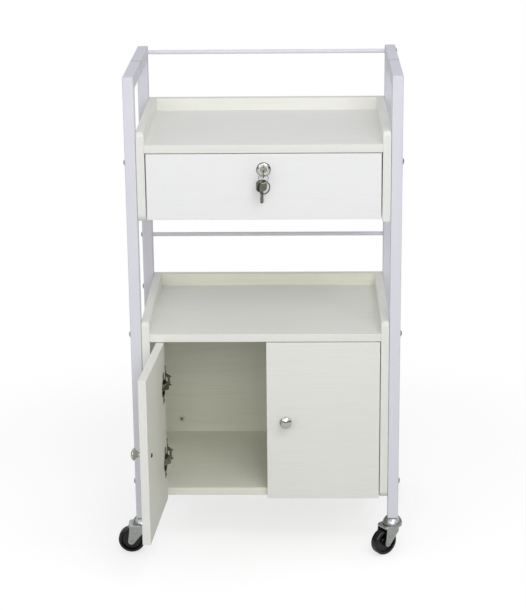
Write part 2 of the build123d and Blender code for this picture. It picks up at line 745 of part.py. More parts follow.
def drawer_side(side):
    """A side of the drawer box, grooved for the bottom."""
    start = -BOX_OUT if side < 0 else BOX_IN
    groove_start = -BOX_IN - GROOVE_DEPTH if side < 0 else BOX_IN
    with BuildPart() as board:
        with BuildSketch(facing_right(start)):
            with Locations(((FRONT_IN_Y + BOX_REAR) / 2, BOX_BOTTOM_Z + BOX_SIDE_HEIGHT / 2)):
                Rectangle(BOX_DEPTH, BOX_SIDE_HEIGHT)
        extrude(amount=BOX_SIDE)
        with BuildSketch(facing_right(groove_start)):
            with Locations(((FRONT_IN_Y + BOX_REAR) / 2, BOX_PANEL_Z + BOX_PANEL / 2)):
                Rectangle(BOX_DEPTH, BOX_PANEL + 2 * GROOVE_FIT)
        extrude(amount=GROOVE_DEPTH, mode=Mode.SUBTRACT)
    return board.part


def drawer_back():
    """The back of the drawer box, standing on the bottom."""
    low = BOX_PANEL_Z + BOX_PANEL
    high = BOX_BOTTOM_Z + BOX_SIDE_HEIGHT
    with BuildPart() as board:
        with BuildSketch(facing_front(BOX_REAR)):
            with Locations((0, (low + high) / 2)):
                Rectangle(2 * BOX_IN, high - low)
        extrude(amount=BOX_SIDE)
    return board.part


def drawer_bottom():
    """The thin bottom of the drawer box, held in the grooves of its sides."""
    with BuildPart() as board:
        with BuildSketch(Plane.XY.offset(BOX_PANEL_Z)):
            with Locations((0, (FRONT_IN_Y + BOX_REAR) / 2)):
                Rectangle(2 * (BOX_IN + GROOVE_DEPTH - GROOVE_FIT), BOX_DEPTH)
        extrude(amount=BOX_PANEL)
    return board.part


def runner(side, fixed):
    """A drawer runner's folded section: the channel on the panel, or the member on the box."""
    mouth = CHANNEL_MOUTH / 2
    tall = CHANNEL_HEIGHT / 2
    reach = side * (PANEL_IN - CHANNEL_FLANGE) if fixed else side * BOX_OUT
    front = FRONT_IN_Y + RUNNER_SETBACK
    with BuildPart() as rail:
        with BuildSketch(facing_front(front)) as section:
            if fixed:
                web_x = side * (PANEL_IN - RUNNER_SHEET / 2)
                flange_x = side * (PANEL_IN - CHANNEL_FLANGE / 2)
                with Locations((web_x, RUNNER_Z)):
                    Rectangle(RUNNER_SHEET, CHANNEL_HEIGHT)
                for up in (-1, 1):
                    with Locations((flange_x, RUNNER_Z + up * (tall - RUNNER_SHEET / 2))):
                        Rectangle(CHANNEL_FLANGE, RUNNER_SHEET)
                    with Locations((reach + side * RUNNER_SHEET / 2, RUNNER_Z + up * (tall + mouth) / 2)):
                        Rectangle(RUNNER_SHEET, tall - mouth)
            else:
                with Locations((reach + side * RUNNER_SHEET / 2, RUNNER_Z)):
                    Rectangle(RUNNER_SHEET, MEMBER_HEIGHT)
                leg = MEMBER_HEIGHT / 2 - RUNNER_SHEET / 2
                flange = (MEMBER_SPAN + MEMBER_HEIGHT - 2 * RUNNER_SHEET) / 4
                flange_x = reach + side * (MEMBER_REACH - RUNNER_SHEET / 2)
                for up in (-1, 1):
                    with Locations((reach + side * MEMBER_REACH / 2, RUNNER_Z + up * leg)):
                        Rectangle(MEMBER_REACH, RUNNER_SHEET)
                    with Locations((flange_x, RUNNER_Z + up * flange)):
                        Rectangle(RUNNER_SHEET, (MEMBER_SPAN - MEMBER_HEIGHT) / 2 + RUNNER_SHEET)
        extrude(section.sketch, amount=-RUNNER_LENGTH)
    return rail.part


# Lock and keys

def lock_body():
    """The lock's fixed body: rim and raised face in front of the board, and a bored barrel through it."""
    with BuildPart() as body:
        for diameter, rise in ((LOCK_RIM, LOCK_RIM_RISE), (LOCK_FACE, LOCK_FACE_RISE)):
            with BuildSketch(facing_front(FRONT_Y)):
                with Locations((0, LOCK_Z)):
                    Circle(diameter / 2)
            extrude(amount=rise)
        with BuildSketch(facing_front(FRONT_IN_Y + LOCK_NUT_THICK)):
            with Locations((0, LOCK_Z)):
                Circle(LOCK_BARREL / 2)
        extrude(amount=BOARD + LOCK_NUT_THICK)
        with BuildSketch(facing_front(FRONT_IN_Y + LOCK_NUT_THICK)):
            with Locations((0, LOCK_Z)):
                Circle(LOCK_CORE / 2 + CORE_FIT)
        extrude(amount=BOARD + LOCK_NUT_THICK + LOCK_FACE_RISE, mode=Mode.SUBTRACT)
        front_rim = body.edges().filter_by(GeomType.CIRCLE).sort_by(Axis.Y)
        fillet([e for e in front_rim if abs(e.radius - LOCK_RIM / 2) < SAME][:1], EDGE_ROUND)
    return body.part


def lock_nut():
    """The flat nut that clamps the lock from behind."""
    with BuildPart() as nut:
        with BuildSketch(facing_front(FRONT_IN_Y + LOCK_NUT_THICK)):
            with Locations((0, LOCK_Z)):
                RegularPolygon(LOCK_NUT / 2, 6, major_radius=False)
                Circle(LOCK_BARREL / 2, mode=Mode.SUBTRACT)
        extrude(amount=LOCK_NUT_THICK)
    return nut.part


def lock_core():
    """The core that the key turns, with its square tail and the head that holds the tongue."""
    tail_end = TONGUE_Y + TONGUE_THICK
    core_end = FRONT_IN_Y + LOCK_NUT_THICK
    with BuildPart() as core:
        with BuildSketch(facing_front(core_end)):
            with Locations((0, LOCK_Z)):
                Circle(LOCK_CORE / 2)
        extrude(amount=BOARD + LOCK_NUT_THICK + LOCK_FACE_RISE)
        with BuildSketch(facing_front(tail_end)):
            with Locations((0, LOCK_Z)):
                Rectangle(CORE_TAIL, CORE_TAIL)
        extrude(amount=tail_end - core_end)
        with BuildSketch(facing_front(tail_end + CORE_HEAD_THICK)):
            with Locations((0, LOCK_Z)):
                Circle(LOCK_CORE / 2)
        extrude(amount=CORE_HEAD_THICK)
        with BuildSketch(facing_front(FRONT_Y - LOCK_FACE_RISE)):
            with Locations((0, LOCK_Z)):
                Rectangle(KEY_THICK + 2 * KEYWAY_GAP, KEY_BLADE_WIDE + 2 * KEYWAY_GAP)
        extrude(amount=-KEY_BLADE_LONG, mode=Mode.SUBTRACT)
    return core.part


def lock_tongue():
    """The cam tongue behind the drawer front: level when open, upright into the shelf's slot when locked."""
    with BuildPart() as tongue:
        with BuildSketch(facing_front(TONGUE_Y + TONGUE_THICK)):
            with Locations((TONGUE_REACH / 2 - TONGUE_WIDE / 4, LOCK_Z)):
                Rectangle(TONGUE_REACH + TONGUE_WIDE / 2, TONGUE_WIDE)
            with Locations((0, LOCK_Z)):
                Rectangle(CORE_TAIL, CORE_TAIL, mode=Mode.SUBTRACT)
        extrude(amount=TONGUE_THICK)
        tip = tongue.edges().filter_by(Axis.Y).group_by(Axis.X)[-1]
        heel = tongue.edges().filter_by(Axis.Y).group_by(Axis.X)[0]
        fillet(tip + heel, TONGUE_WIDE / 4)
    return tongue.part


def key(plane):
    """A flat key: the plane's origin is the middle of its hole, and its blade points along the plane's X."""
    bow_end = KEY_BOW_LONG - KEY_HOLE_SETBACK
    with BuildPart() as blank:
        with BuildSketch(plane):
            with Locations((KEY_BOW_LONG / 2 - KEY_HOLE_SETBACK, 0)):
                RectangleRounded(KEY_BOW_LONG, KEY_BOW_WIDE, KEY_BOW_ROUND)
            with Locations((bow_end + (KEY_BLADE_LONG - KEY_NECK) / 2, 0)):
                Rectangle(KEY_BLADE_LONG + KEY_NECK, KEY_BLADE_WIDE)
            RectangleRounded(KEY_HOLE_LONG, KEY_HOLE_WIDE, KEY_HOLE_ROUND, mode=Mode.SUBTRACT)
        extrude(amount=KEY_THICK / 2, both=True)
        tip = blank.vertices().sort_by(Axis(plane.origin, plane.x_dir))[-4:]
        tip_edges = [e for e in blank.edges() if all(v in tip for v in e.vertices())]
        chamfer([e for e in tip_edges if abs(e.length - KEY_THICK) < SAME], KEY_TIP_CHAMFER)
    return blank.part


def lock_key():
    """The key in the lock, its bow on edge."""
    return key(Plane(origin=(0, KEY_Y, LOCK_Z), x_dir=(0, 1, 0), z_dir=(1, 0, 0)))


def bunch_normal():
    """The direction that the spare key and the split ring face."""
    return Vector(0, 1, 0).rotate(Axis.Z, BUNCH_TURN)


def spare_key():
    """The second key, hanging on the ring."""
    hole_z = RING_Z - ring_depth(RING_RADIUS, SPARE_KEY_X) - RING_HANG_GAP
    return key(Plane(origin=(SPARE_KEY_X, KEY_Y, hole_z), x_dir=(0, 0, -1), z_dir=bunch_normal()))


def key_ring():
    """The thin ring through the lock key's bow."""
    with BuildPart() as ring:
        with BuildSketch(Plane(origin=(0, KEY_Y, RING_Z))):
            with Locations((RING_RADIUS, 0)):
                Circle(RING_WIRE / 2)
        revolve(axis=Axis((0, KEY_Y, RING_Z), (0, 1, 0)))
    return ring.part


def split_ring():
    """The flat split ring that hangs from the thin ring beside the spare key."""
    radius = (SPLIT_RING_DIAMETER - SPLIT_RING_WIRE) / 2
    wire_z = RING_Z - ring_depth(RING_RADIUS, SPLIT_RING_X)
    top = wire_z + RING_WIRE / 2 + SPLIT_RING_GAP + SPLIT_RING_WIRE / 2
    with BuildPart() as ring:
        with BuildSketch(Plane.XZ):
            with Locations((radius, 0)):
                RectangleRounded(SPLIT_RING_WIRE, SPLIT_RING_DEPTH, SPLIT_RING_ROUND)
        revolve(axis=Axis.Z)
    flat = Rot(90, 0, 0) * ring.part
    return Pos(SPLIT_RING_X, KEY_Y, top - radius) * Rot(0, 0, BUNCH_TURN) * flat


# Doors and their hinges

def door_closed():
    """The right-hand door where it stands closed, bored for its cups and its knob's screw."""
    with BuildPart() as door:
        with BuildSketch(facing_front(FRONT_IN_Y)):
            with Locations(((DOOR_IN + DOOR_OUT) / 2, (LOWER_BOTTOM_Z + DOOR_TOP) / 2)):
                Rectangle(DOOR_OUT - DOOR_IN, DOOR_TOP - LOWER_BOTTOM_Z)
        extrude(amount=BOARD)
        fillet(door.faces().sort_by(Axis.Y)[0].edges(), EDGE_ROUND)
        with BuildSketch(facing_front(FRONT_IN_Y)):
            with Locations(*[(DOOR_OUT - CUP_CENTRE, z) for z in HINGE_HEIGHTS]):
                Circle(CUP_DIAMETER / 2 + CUP_FIT)
        extrude(amount=CUP_DEPTH + CUP_FIT, mode=Mode.SUBTRACT)
        with BuildSketch(facing_front(FRONT_IN_Y)):
            with Locations((KNOB_EDGE + DOOR_IN, KNOB_Z)):
                Circle(KNOB_SCREW / 2 + KNOB_SCREW_CLEARANCE)
        extrude(amount=BOARD, mode=Mode.SUBTRACT)
    return door.part


def hinge_cups_closed():
    """The right-hand door's two hinge cups, with flanges on its inner face and ears beside the links."""
    with BuildPart() as cups:
        for height in HINGE_HEIGHTS:
            with BuildSketch(facing_front(FRONT_IN_Y + FLANGE_THICK)):
                with Locations((DOOR_OUT - CUP_CENTRE, height)):
                    RectangleRounded(FLANGE_WIDE, FLANGE_LONG, FLANGE_ROUND)
                    Circle(CUP_DIAMETER / 2 + FLANGE_THICK)
            extrude(amount=FLANGE_THICK)
            with BuildSketch(facing_front(FRONT_IN_Y)):
                with Locations((DOOR_OUT - CUP_CENTRE, height)):
                    Circle(CUP_DIAMETER / 2)
            extrude(amount=CUP_DEPTH)
            with BuildSketch(facing_front(FRONT_IN_Y + FLANGE_THICK)):
                with Locations((DOOR_OUT - CUP_CENTRE, height)):
                    Circle(CUP_DIAMETER / 2 - CUP_WALL)
            extrude(amount=FLANGE_THICK + CUP_DEPTH - CUP_WALL, mode=Mode.SUBTRACT)
            with BuildSketch(facing_front(FRONT_IN_Y - CUP_DEPTH + CUP_WALL / 2)):
                with Locations((DOOR_OUT - CUP_CENTRE, height)):
                    Circle((CUP_DIAMETER - CUP_WALL) / 2)
                with Locations((DOOR_OUT - CUP_CENTRE - EAR_OFFSET, height)):
                    Rectangle(EAR_WIDE, CUP_DIAMETER, mode=Mode.INTERSECT)
                    Rectangle(EAR_WIDE, LINK_WIDE + 2 * EAR_GAP, mode=Mode.SUBTRACT)
            extrude(amount=-EAR_RISE - CUP_WALL / 2)
    return cups.part


def knob_closed():
    """The right-hand door's knob: a base, a neck and a flattened ball, bored for its screw."""
    radius = KNOB_DIAMETER / 2
    crown = KNOB_CROWN / 2
    crown_y = KNOB_REACH - KNOB_CROWN_RISE
    out, up = cap_middle(crown, KNOB_CROWN_RISE)
    with BuildPart() as knob:
        with BuildSketch(Plane.XY):
            with BuildLine():
                Polyline((0, 0), (KNOB_BASE / 2, 0), (KNOB_BASE / 2, KNOB_BASE_THICK),
                         (KNOB_NECK / 2, KNOB_BASE_THICK + KNOB_BASE_SLOPE), (KNOB_NECK / 2, KNOB_NECK_LONG))
                ThreePointArc((KNOB_NECK / 2, KNOB_NECK_LONG), (radius, (KNOB_NECK_LONG + crown_y) / 2),
                              (crown, crown_y))
                ThreePointArc((crown, crown_y), (out, crown_y + up), (0, KNOB_REACH))
                Line((0, KNOB_REACH), (0, 0))
            make_face()
        revolve(axis=Axis.Y)
        with BuildSketch(Plane.XZ):
            Circle(KNOB_SCREW / 2)
        extrude(amount=-KNOB_SCREW_BITE, mode=Mode.SUBTRACT)
    return Pos(KNOB_EDGE + DOOR_IN, FRONT_Y, KNOB_Z) * Rot(0, 0, 180) * knob.part


def knob_screw_closed():
    """The screw that holds the knob from the door's inner face."""
    with BuildPart() as screw:
        with BuildSketch(facing_front(FRONT_IN_Y)):
            with Locations((KNOB_EDGE + DOOR_IN, KNOB_Z)):
                Circle(KNOB_SCREW / 2)
        extrude(amount=BOARD + KNOB_SCREW_BITE - KNOB_SCREW_SPARE)
        with BuildSketch(facing_front(FRONT_IN_Y + KNOB_SCREW_RISE)):
            with Locations((KNOB_EDGE + DOOR_IN, KNOB_Z)):
                Circle(KNOB_SCREW_HEAD / 2)
        extrude(amount=KNOB_SCREW_RISE)
        fillet(screw.edges().filter_by(GeomType.CIRCLE).sort_by(Axis.Y)[-1], KNOB_SCREW_ROUND)
    return screw.part


def hinge_links_closed():
    """The right-hand door's two cranked links where they lie with the door closed."""
    spin = 180 - LINK_OPEN_ANGLE - LINK_RATIO * DOOR_OPEN
    links = []
    with BuildPart() as link:
        with BuildSketch(Plane.XY.offset(-LINK_WIDE / 2)):
            with BuildLine():
                FilletPolyline((0, 0), LINK_CRANK_NEAR, LINK_CRANK_FAR, (LINK_LENGTH, 0), radius=LINK_BEND)
            trace(line_width=LINK_THICK)
            with Locations((0, 0), (LINK_LENGTH, 0)):
                Circle(LINK_BARREL / 2)
            Circle(PIN_DIAMETER / 2 + PIN_FIT, mode=Mode.SUBTRACT)
        extrude(amount=LINK_WIDE)
    for height in HINGE_HEIGHTS:
        mirrored = mirror(link.part, about=Plane.XZ, mode=Mode.PRIVATE)
        place = Pos(PIVOT_X - NOSE_X, PIVOT_Y + NOSE_Y, height)
        links.append(place * Rot(0, 0, spin) * mirrored)
    return Compound(children=links)


def hinge_arm_right():
    """One hinge arm on the right-hand side, at height 0: plate, channel arm, cheeks and nose pin."""
    wall = PANEL_IN
    nose_x = PIVOT_X - NOSE_X
    nose_y = PIVOT_Y + NOSE_Y
    back = nose_y + ARM_LENGTH
    cheek = (ARM_WIDE - LINK_WIDE) / 2 - ARM_SHEET
    with BuildPart() as arm:
        with BuildSketch(facing_right(wall)):
            with Locations((back - PLATE_LONG / 2, 0)):
                RectangleRounded(PLATE_LONG, PLATE_WIDE, PLATE_CORNER)
        extrude(amount=-PLATE_THICK)
        with BuildSketch(Plane.XY.offset(-ARM_WIDE / 2)):
            with BuildLine():
                Polyline((nose_x + NOSE_RADIUS, nose_y), (wall - PLATE_THICK, nose_y + CHEEK_BACK),
                         (wall - PLATE_THICK, back), (wall - ARM_RISE, back),
                         (wall - ARM_RISE, nose_y + CHEEK_BACK), (nose_x - NOSE_RADIUS, nose_y))
                ThreePointArc((nose_x - NOSE_RADIUS, nose_y), (nose_x, nose_y - NOSE_RADIUS),
                              (nose_x + NOSE_RADIUS, nose_y))
            make_face()
        extrude(amount=ARM_WIDE)
        with BuildSketch(Plane.XY.offset(-LINK_WIDE / 2 - cheek)):
            with Locations((nose_x, nose_y - NOSE_RADIUS + CHEEK_BACK / 2)):
                Rectangle(4 * ARM_RISE, CHEEK_BACK)
        extrude(amount=LINK_WIDE + 2 * cheek, mode=Mode.SUBTRACT)
        with BuildSketch(Plane.XY.offset(-ARM_WIDE / 2)):
            with Locations((nose_x, nose_y)):
                Circle(PIN_DIAMETER / 2)
        extrude(amount=ARM_WIDE)
    return arm.part


def hinge_arms():
    """All four hinge arms."""
    one = hinge_arm_right()
    other = mirror(one, about=Plane.YZ, mode=Mode.PRIVATE)
    return Compound(children=[Pos(0, 0, z) * arm for z in HINGE_HEIGHTS for arm in (one, other)])


def to_left(part):
    """The mirror image of a right-hand piece."""
    return mirror(part, about=Plane.YZ, mode=Mode.PRIVATE)


def opened_left(part):
    """A piece of the left-hand door, swung open from its closed place."""
    hinge = Axis((-PIVOT_X, PIVOT_Y, 0), (0, 0, 1))
    return part.rotate(hinge, -DOOR_OPEN)


def opened_left_links(part):
    """The left-hand links, turned about their pins with the open door."""
    pin = Axis((-PIVOT_X + NOSE_X, PIVOT_Y + NOSE_Y, 0), (0, 0, 1))
    return part.rotate(pin, -DOOR_OPEN * LINK_RATIO)


# Write every piece under its own name
for end, end_name in ((-1, "front"), (1, "rear")):
    for side, side_name in ((-1, "left"), (1, "right")):
        save(side_frame_half(side, end), "frame_" + end_name + "_" + side_name)
save(rail_sleeves(), "rail_sleeves")
save(crossbar(CROSSBAR_TOP_Z), "crossbar_top")
save(crossbar(CROSSBAR_MIDDLE_Z), "crossbar_middle")
save(frame_bolts(), "frame_bolts")
save(panel_inserts(), "panel_inserts")

save(caster_sockets(), "caster_sockets")
save(caster_stems(), "caster_stems")
fork = caster_fork()
wheel = caster_wheel()
for name in CASTER_PLACES:
    save(caster_turn(name) * fork, "caster_fork_" + name)
    save(caster_turn(name) * Pos(CASTER_TRAIL, 0, WHEEL_Z) * wheel, "caster_wheel_" + name)

for side, side_name in ((-1, "left"), (1, "right")):
    save(side_panel(side, UPPER_BOTTOM_Z, UPPER_TOP_Z, [UPPER_SHELF_Z]), "upper_panel_" + side_name)
    save(side_panel(side, LOWER_BOTTOM_Z, LOWER_TOP_Z, [LOWER_SHELF_Z, LOWER_BOTTOM_Z]),
         "cabinet_panel_" + side_name)
save(level_board(UPPER_SHELF_Z, FRONT_Y, True), "upper_shelf")
save(level_board(LOWER_SHELF_Z, FRONT_Y, False), "cabinet_shelf")
save(level_board(LOWER_BOTTOM_Z, FRONT_IN_Y + FLOOR_SETBACK, False), "cabinet_floor")
save(back_panel(UPPER_BOTTOM_Z, UPPER_TOP_Z), "upper_back_panel")
save(back_panel(LOWER_BOTTOM_Z, LOWER_TOP_Z), "cabinet_back_panel")
save(cam_fittings(), "cam_fittings")
save(cam_bolts(), "cam_bolts")

save(drawer_front(), "drawer_front")
save(drawer_back(), "drawer_back")
save(drawer_bottom(), "drawer_bottom")
for side, side_name in ((-1, "left"), (1, "right")):
    save(drawer_side(side), "drawer_side_" + side_name)
    save(runner(side, True), "runner_fixed_" + side_name)
    save(runner(side, False), "runner_moving_" + side_name)

save(lock_body(), "lock_body")
save(lock_nut(), "lock_nut")
save(lock_core(), "lock_core")
save(lock_tongue(), "lock_tongue")
save(lock_key(), "lock_key")
save(key_ring(), "key_ring")
save(spare_key(), "spare_key")
save(split_ring(), "split_ring")

door_pieces = {
    "door": door_closed(),
    "hinge_cups": hinge_cups_closed(),
    "knob": knob_closed(),
    "knob_screw": knob_screw_closed(),
}
for name, piece in door_pieces.items():
    save(opened_left(to_left(piece)), "left_" + name)
    save(piece, "right_" + name)
right_links = hinge_links_closed()
save(right_links, "right_hinge_links")
save(opened_left_links(to_left(right_links)), "left_hinge_links")
save(hinge_arms(), "hinge_arms")
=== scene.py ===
"""Looks of the salon trolley: finishes, small hardware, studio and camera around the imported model."""
from __future__ import annotations

import json
import logging
import math
from dataclasses import astuple, dataclass
from enum import Enum
from typing import Any, Iterable, Sequence

import bmesh
import bpy
from mathutils import Matrix, Vector
from mathutils.kdtree import KDTree

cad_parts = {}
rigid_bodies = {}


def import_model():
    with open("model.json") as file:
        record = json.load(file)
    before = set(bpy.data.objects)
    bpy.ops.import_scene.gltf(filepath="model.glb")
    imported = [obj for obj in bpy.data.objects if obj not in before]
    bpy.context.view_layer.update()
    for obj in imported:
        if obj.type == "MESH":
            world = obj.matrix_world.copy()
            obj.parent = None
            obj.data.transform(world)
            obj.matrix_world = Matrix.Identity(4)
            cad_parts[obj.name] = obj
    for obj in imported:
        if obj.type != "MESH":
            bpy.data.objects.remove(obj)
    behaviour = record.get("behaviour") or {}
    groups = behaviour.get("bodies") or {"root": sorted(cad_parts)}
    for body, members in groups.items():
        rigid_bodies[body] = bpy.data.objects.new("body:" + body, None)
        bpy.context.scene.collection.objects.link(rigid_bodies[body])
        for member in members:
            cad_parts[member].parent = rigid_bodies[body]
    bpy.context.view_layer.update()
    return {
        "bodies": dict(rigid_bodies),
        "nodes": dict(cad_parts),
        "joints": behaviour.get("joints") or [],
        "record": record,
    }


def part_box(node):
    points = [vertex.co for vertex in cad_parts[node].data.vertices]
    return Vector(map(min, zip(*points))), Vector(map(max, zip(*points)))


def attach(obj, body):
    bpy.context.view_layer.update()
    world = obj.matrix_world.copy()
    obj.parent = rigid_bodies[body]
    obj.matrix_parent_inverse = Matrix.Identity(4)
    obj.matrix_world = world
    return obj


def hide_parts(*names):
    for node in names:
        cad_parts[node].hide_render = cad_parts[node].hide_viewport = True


LOG = logging.getLogger("trolley")
MM = 0.001
Point = tuple[float, float, float]
Colour = tuple[float, float, float]


def rgb(red: int, green: int, blue: int) -> Colour:
    """Turn an 8-bit display colour into a linear one.

    Args:
        red: Red level, 0 to 255.
        green: Green level, 0 to 255.
        blue: Blue level, 0 to 255.

    Returns:
        The linear colour.
    """
    def linear(level: int) -> float:
        """Undo the display curve of one level."""
        share = level / 255
        return share / 12.92 if share <= 0.04045 else ((share + 0.055) / 1.055) ** 2.4

    return linear(red), linear(green), linear(blue)


class Grain(Enum):
    """The direction in which a board's embossed grain runs."""

    ALONG_X = (4.0, 150.0, 150.0)
    ALONG_Y = (150.0, 4.0, 150.0)


class Drive(Enum):
    """The recess in a screw's head."""

    HEX = "hex"
    CROSS = "cross"


class Graph:
    """A node tree under construction, for a material or for geometry."""

    def __init__(self, tree: bpy.types.NodeTree) -> None:
        """Keep the tree.

        Args:
            tree: The tree to add nodes to.
        """
        self.tree = tree

    def add(self, kind: str, inputs: dict[Any, Any] | None = None, **settings: Any) -> bpy.types.Node:
        """Add one node.

        Args:
            kind: The node's type name.
            inputs: Values or output sockets by input name or index.
            **settings: Properties set on the node.

        Returns:
            The new node.
        """
        node = self.tree.nodes.new(kind)
        for name, value in settings.items():
            setattr(node, name, value)
        for key, value in (inputs or {}).items():
            if isinstance(value, bpy.types.NodeSocket):
                self.tree.links.new(value, node.inputs[key])
            else:
                node.inputs[key].default_value = value
        return node

    def math(self, operation: str, first: Any, second: Any) -> bpy.types.NodeSocket:
        """Add one step of arithmetic.

        Args:
            operation: What is done, such as MULTIPLY.
            first: The first value or socket.
            second: The second value or socket.

        Returns:
            The result.
        """
        return self.add("ShaderNodeMath", {0: first, 1: second}, operation=operation).outputs["Value"]

    def vector(self, x: Any, y: Any, z: Any) -> bpy.types.NodeSocket:
        """Join three values or sockets into a vector."""
        return self.add("ShaderNodeCombineXYZ", {"X": x, "Y": y, "Z": z}).outputs["Vector"]

    def glow(self, strength: Any) -> bpy.types.NodeSocket:
        """Add a white emission of the given strength."""
        return self.add("ShaderNodeEmission", {"Color": (1.0, 1.0, 1.0, 1.0), "Strength": strength}).outputs["Emission"]

    def moved(self, solid: bpy.types.NodeSocket, **change: Any) -> bpy.types.NodeSocket:
        """Move or scale a geometry by the named input."""
        return self.add("GeometryNodeTransform", {"Geometry": solid, **change}).outputs["Geometry"]

    def finished(self, geometry: bpy.types.NodeSocket, finish: Finish) -> None:
        """End a geometry tree: make its instances real, give them their finish and put them out.

        Args:
            geometry: What the tree has made.
            finish: The finish of all of it.
        """
        real = self.add("GeometryNodeRealizeInstances", {"Geometry": geometry})
        dressed = self.add("GeometryNodeSetMaterial", {
            "Geometry": real.outputs["Geometry"], "Material": finish.material()})
        self.add("NodeGroupOutput", {"Geometry": dressed.outputs["Geometry"]})


@dataclass(frozen=True)
class Finish:
    """A finish with a slightly uneven colour, roughness and surface."""

    name: str
    colour: Colour
    roughness: float
    metallic: float = 0.0
    coat: float = 0.0
    specular: float = 0.5
    tone_change: float = 0.03
    tone_scale: float = 12.0
    rough_change: float = 0.06
    rough_scale: float = 90.0
    bump_scale: float = 900.0
    bump_height: float = 0.00002
    stretch: Point = (1.0, 1.0, 1.0)
    coat_roughness: float = 0.08

    def material(self) -> bpy.types.Material:
        """Make the material, or find the one already made under this name.

        Returns:
            The material.
        """
        found = bpy.data.materials.get(self.name)
        if found is not None:
            return found
        made = bpy.data.materials.new(self.name)
        made.use_nodes = True
        made.node_tree.nodes.clear()
        graph = Graph(made.node_tree)
        place = graph.add("ShaderNodeTexCoord").outputs["Object"]
        place = graph.add("ShaderNodeMapping", {"Vector": place, "Scale": self.stretch}).outputs["Vector"]
        shader = graph.add("ShaderNodeBsdfPrincipled", {
            "Base Color": self._colour(graph, place),
            "Roughness": self._roughness(graph, place),
            "Normal": self._surface(graph, place),
        })
        shader.inputs["Metallic"].default_value = self.metallic
        shader.inputs["Coat Weight"].default_value = self.coat
        shader.inputs["Coat Roughness"].default_value = self.coat_roughness
        shader.inputs["Specular IOR Level"].default_value = self.specular
        graph.add("ShaderNodeOutputMaterial", {"Surface": shader.outputs["BSDF"]})
        return made

    def _noise(self, graph: Graph, place: bpy.types.NodeSocket, scale: float, detail: float) -> bpy.types.NodeSocket:
        """Add a noise pattern.

        Args:
            graph: The material's graph.
            place: The coordinates to read.
            scale: Repeats per metre.
            detail: Octaves of detail.

        Returns:
            The pattern's value, around 0.5.
        """
        node = graph.add("ShaderNodeTexNoise", {"Vector": place, "Scale": scale, "Detail": detail})
        return node.outputs["Fac"]

    def _colour(self, graph: Graph, place: bpy.types.NodeSocket) -> bpy.types.NodeSocket:
        """Vary the colour a little over the piece.

        Args:
            graph: The material's graph.
            place: The coordinates to read.

        Returns:
            The colour.
        """
        low = tuple(level * (1 - self.tone_change) for level in self.colour) + (1.0,)
        high = tuple(min(1.0, level * (1 + self.tone_change)) for level in self.colour) + (1.0,)
        ramp = graph.add("ShaderNodeValToRGB", {"Fac": self._noise(graph, place, self.tone_scale, 3.0)})
        ramp.color_ramp.elements[0].position = 0.3
        ramp.color_ramp.elements[0].color = low
        ramp.color_ramp.elements[1].position = 0.7
        ramp.color_ramp.elements[1].color = high
        return ramp.outputs["Color"]

    def _roughness(self, graph: Graph, place: bpy.types.NodeSocket) -> bpy.types.NodeSocket:
        """Vary the roughness a little over the piece.

        Args:
            graph: The material's graph.
            place: The coordinates to read.

        Returns:
            The roughness.
        """
        spread = graph.add("ShaderNodeMapRange", {
            "Value": self._noise(graph, place, self.rough_scale, 2.0),
            "From Min": 0.3, "From Max": 0.7,
            "To Min": max(0.02, self.roughness - self.rough_change),
            "To Max": min(1.0, self.roughness + self.rough_change),
        })
        return spread.outputs["Result"]

    def _surface(self, graph: Graph, place: bpy.types.NodeSocket) -> bpy.types.NodeSocket:
        """Give the surface its fine unevenness.

        Args:
            graph: The material's graph.
            place: The coordinates to read.

        Returns:
            The bumped normal.
        """
        bump = graph.add("ShaderNodeBump", {
            "Height": self._noise(graph, place, self.bump_scale, 2.0),
            "Distance": self.bump_height,
        })
        return bump.outputs["Normal"]


@dataclass(frozen=True)
class Melamine(Finish):
    """White board facing with a faint embossed wood grain."""

    grain: Grain = Grain.ALONG_X
    emboss: float = 0.00009
    streak: float = 0.02

    def _pores(self, graph: Graph, place: bpy.types.NodeSocket) -> bpy.types.NodeSocket:
        """Add the long broken lines of the grain.

        Args:
            graph: The material's graph.
            place: The coordinates to read.

        Returns:
            A value that is 0 in a pore and 1 between the pores.
        """
        along = graph.add("ShaderNodeMapping", {"Vector": place, "Scale": self.grain.value})
        lines = graph.add("ShaderNodeTexNoise", {
            "Vector": along.outputs["Vector"], "Scale": 2.0, "Detail": 4.0, "Distortion": 0.4,
        })
        pores = graph.add("ShaderNodeMapRange", {
            "Value": lines.outputs["Fac"], "From Min": 0.36, "From Max": 0.5, "To Min": 0.0, "To Max": 1.0,
        })
        return pores.outputs["Result"]

    def _colour(self, graph: Graph, place: bpy.types.NodeSocket) -> bpy.types.NodeSocket:
        """Darken the pores of the grain a little.

        Args:
            graph: The material's graph.
            place: The coordinates to read.

        Returns:
            The colour.
        """
        shade = graph.add("ShaderNodeMapRange", {
            "Value": self._pores(graph, place), "To Min": 1 - self.streak, "To Max": 1.0})
        return graph.add("ShaderNodeMix", {
            0: 1.0, 6: super()._colour(graph, place), 7: shade.outputs["Result"],
        }, data_type="RGBA", blend_type="MULTIPLY").outputs[2]

    def _surface(self, graph: Graph, place: bpy.types.NodeSocket) -> bpy.types.NodeSocket:
        """Press long broken grain lines into the facing.

        Args:
            graph: The material's graph.
            place: The coordinates to read.

        Returns:
            The bumped normal.
        """
        bump = graph.add("ShaderNodeBump", {"Height": self._pores(graph, place), "Distance": self.emboss})
        return bump.outputs["Normal"]


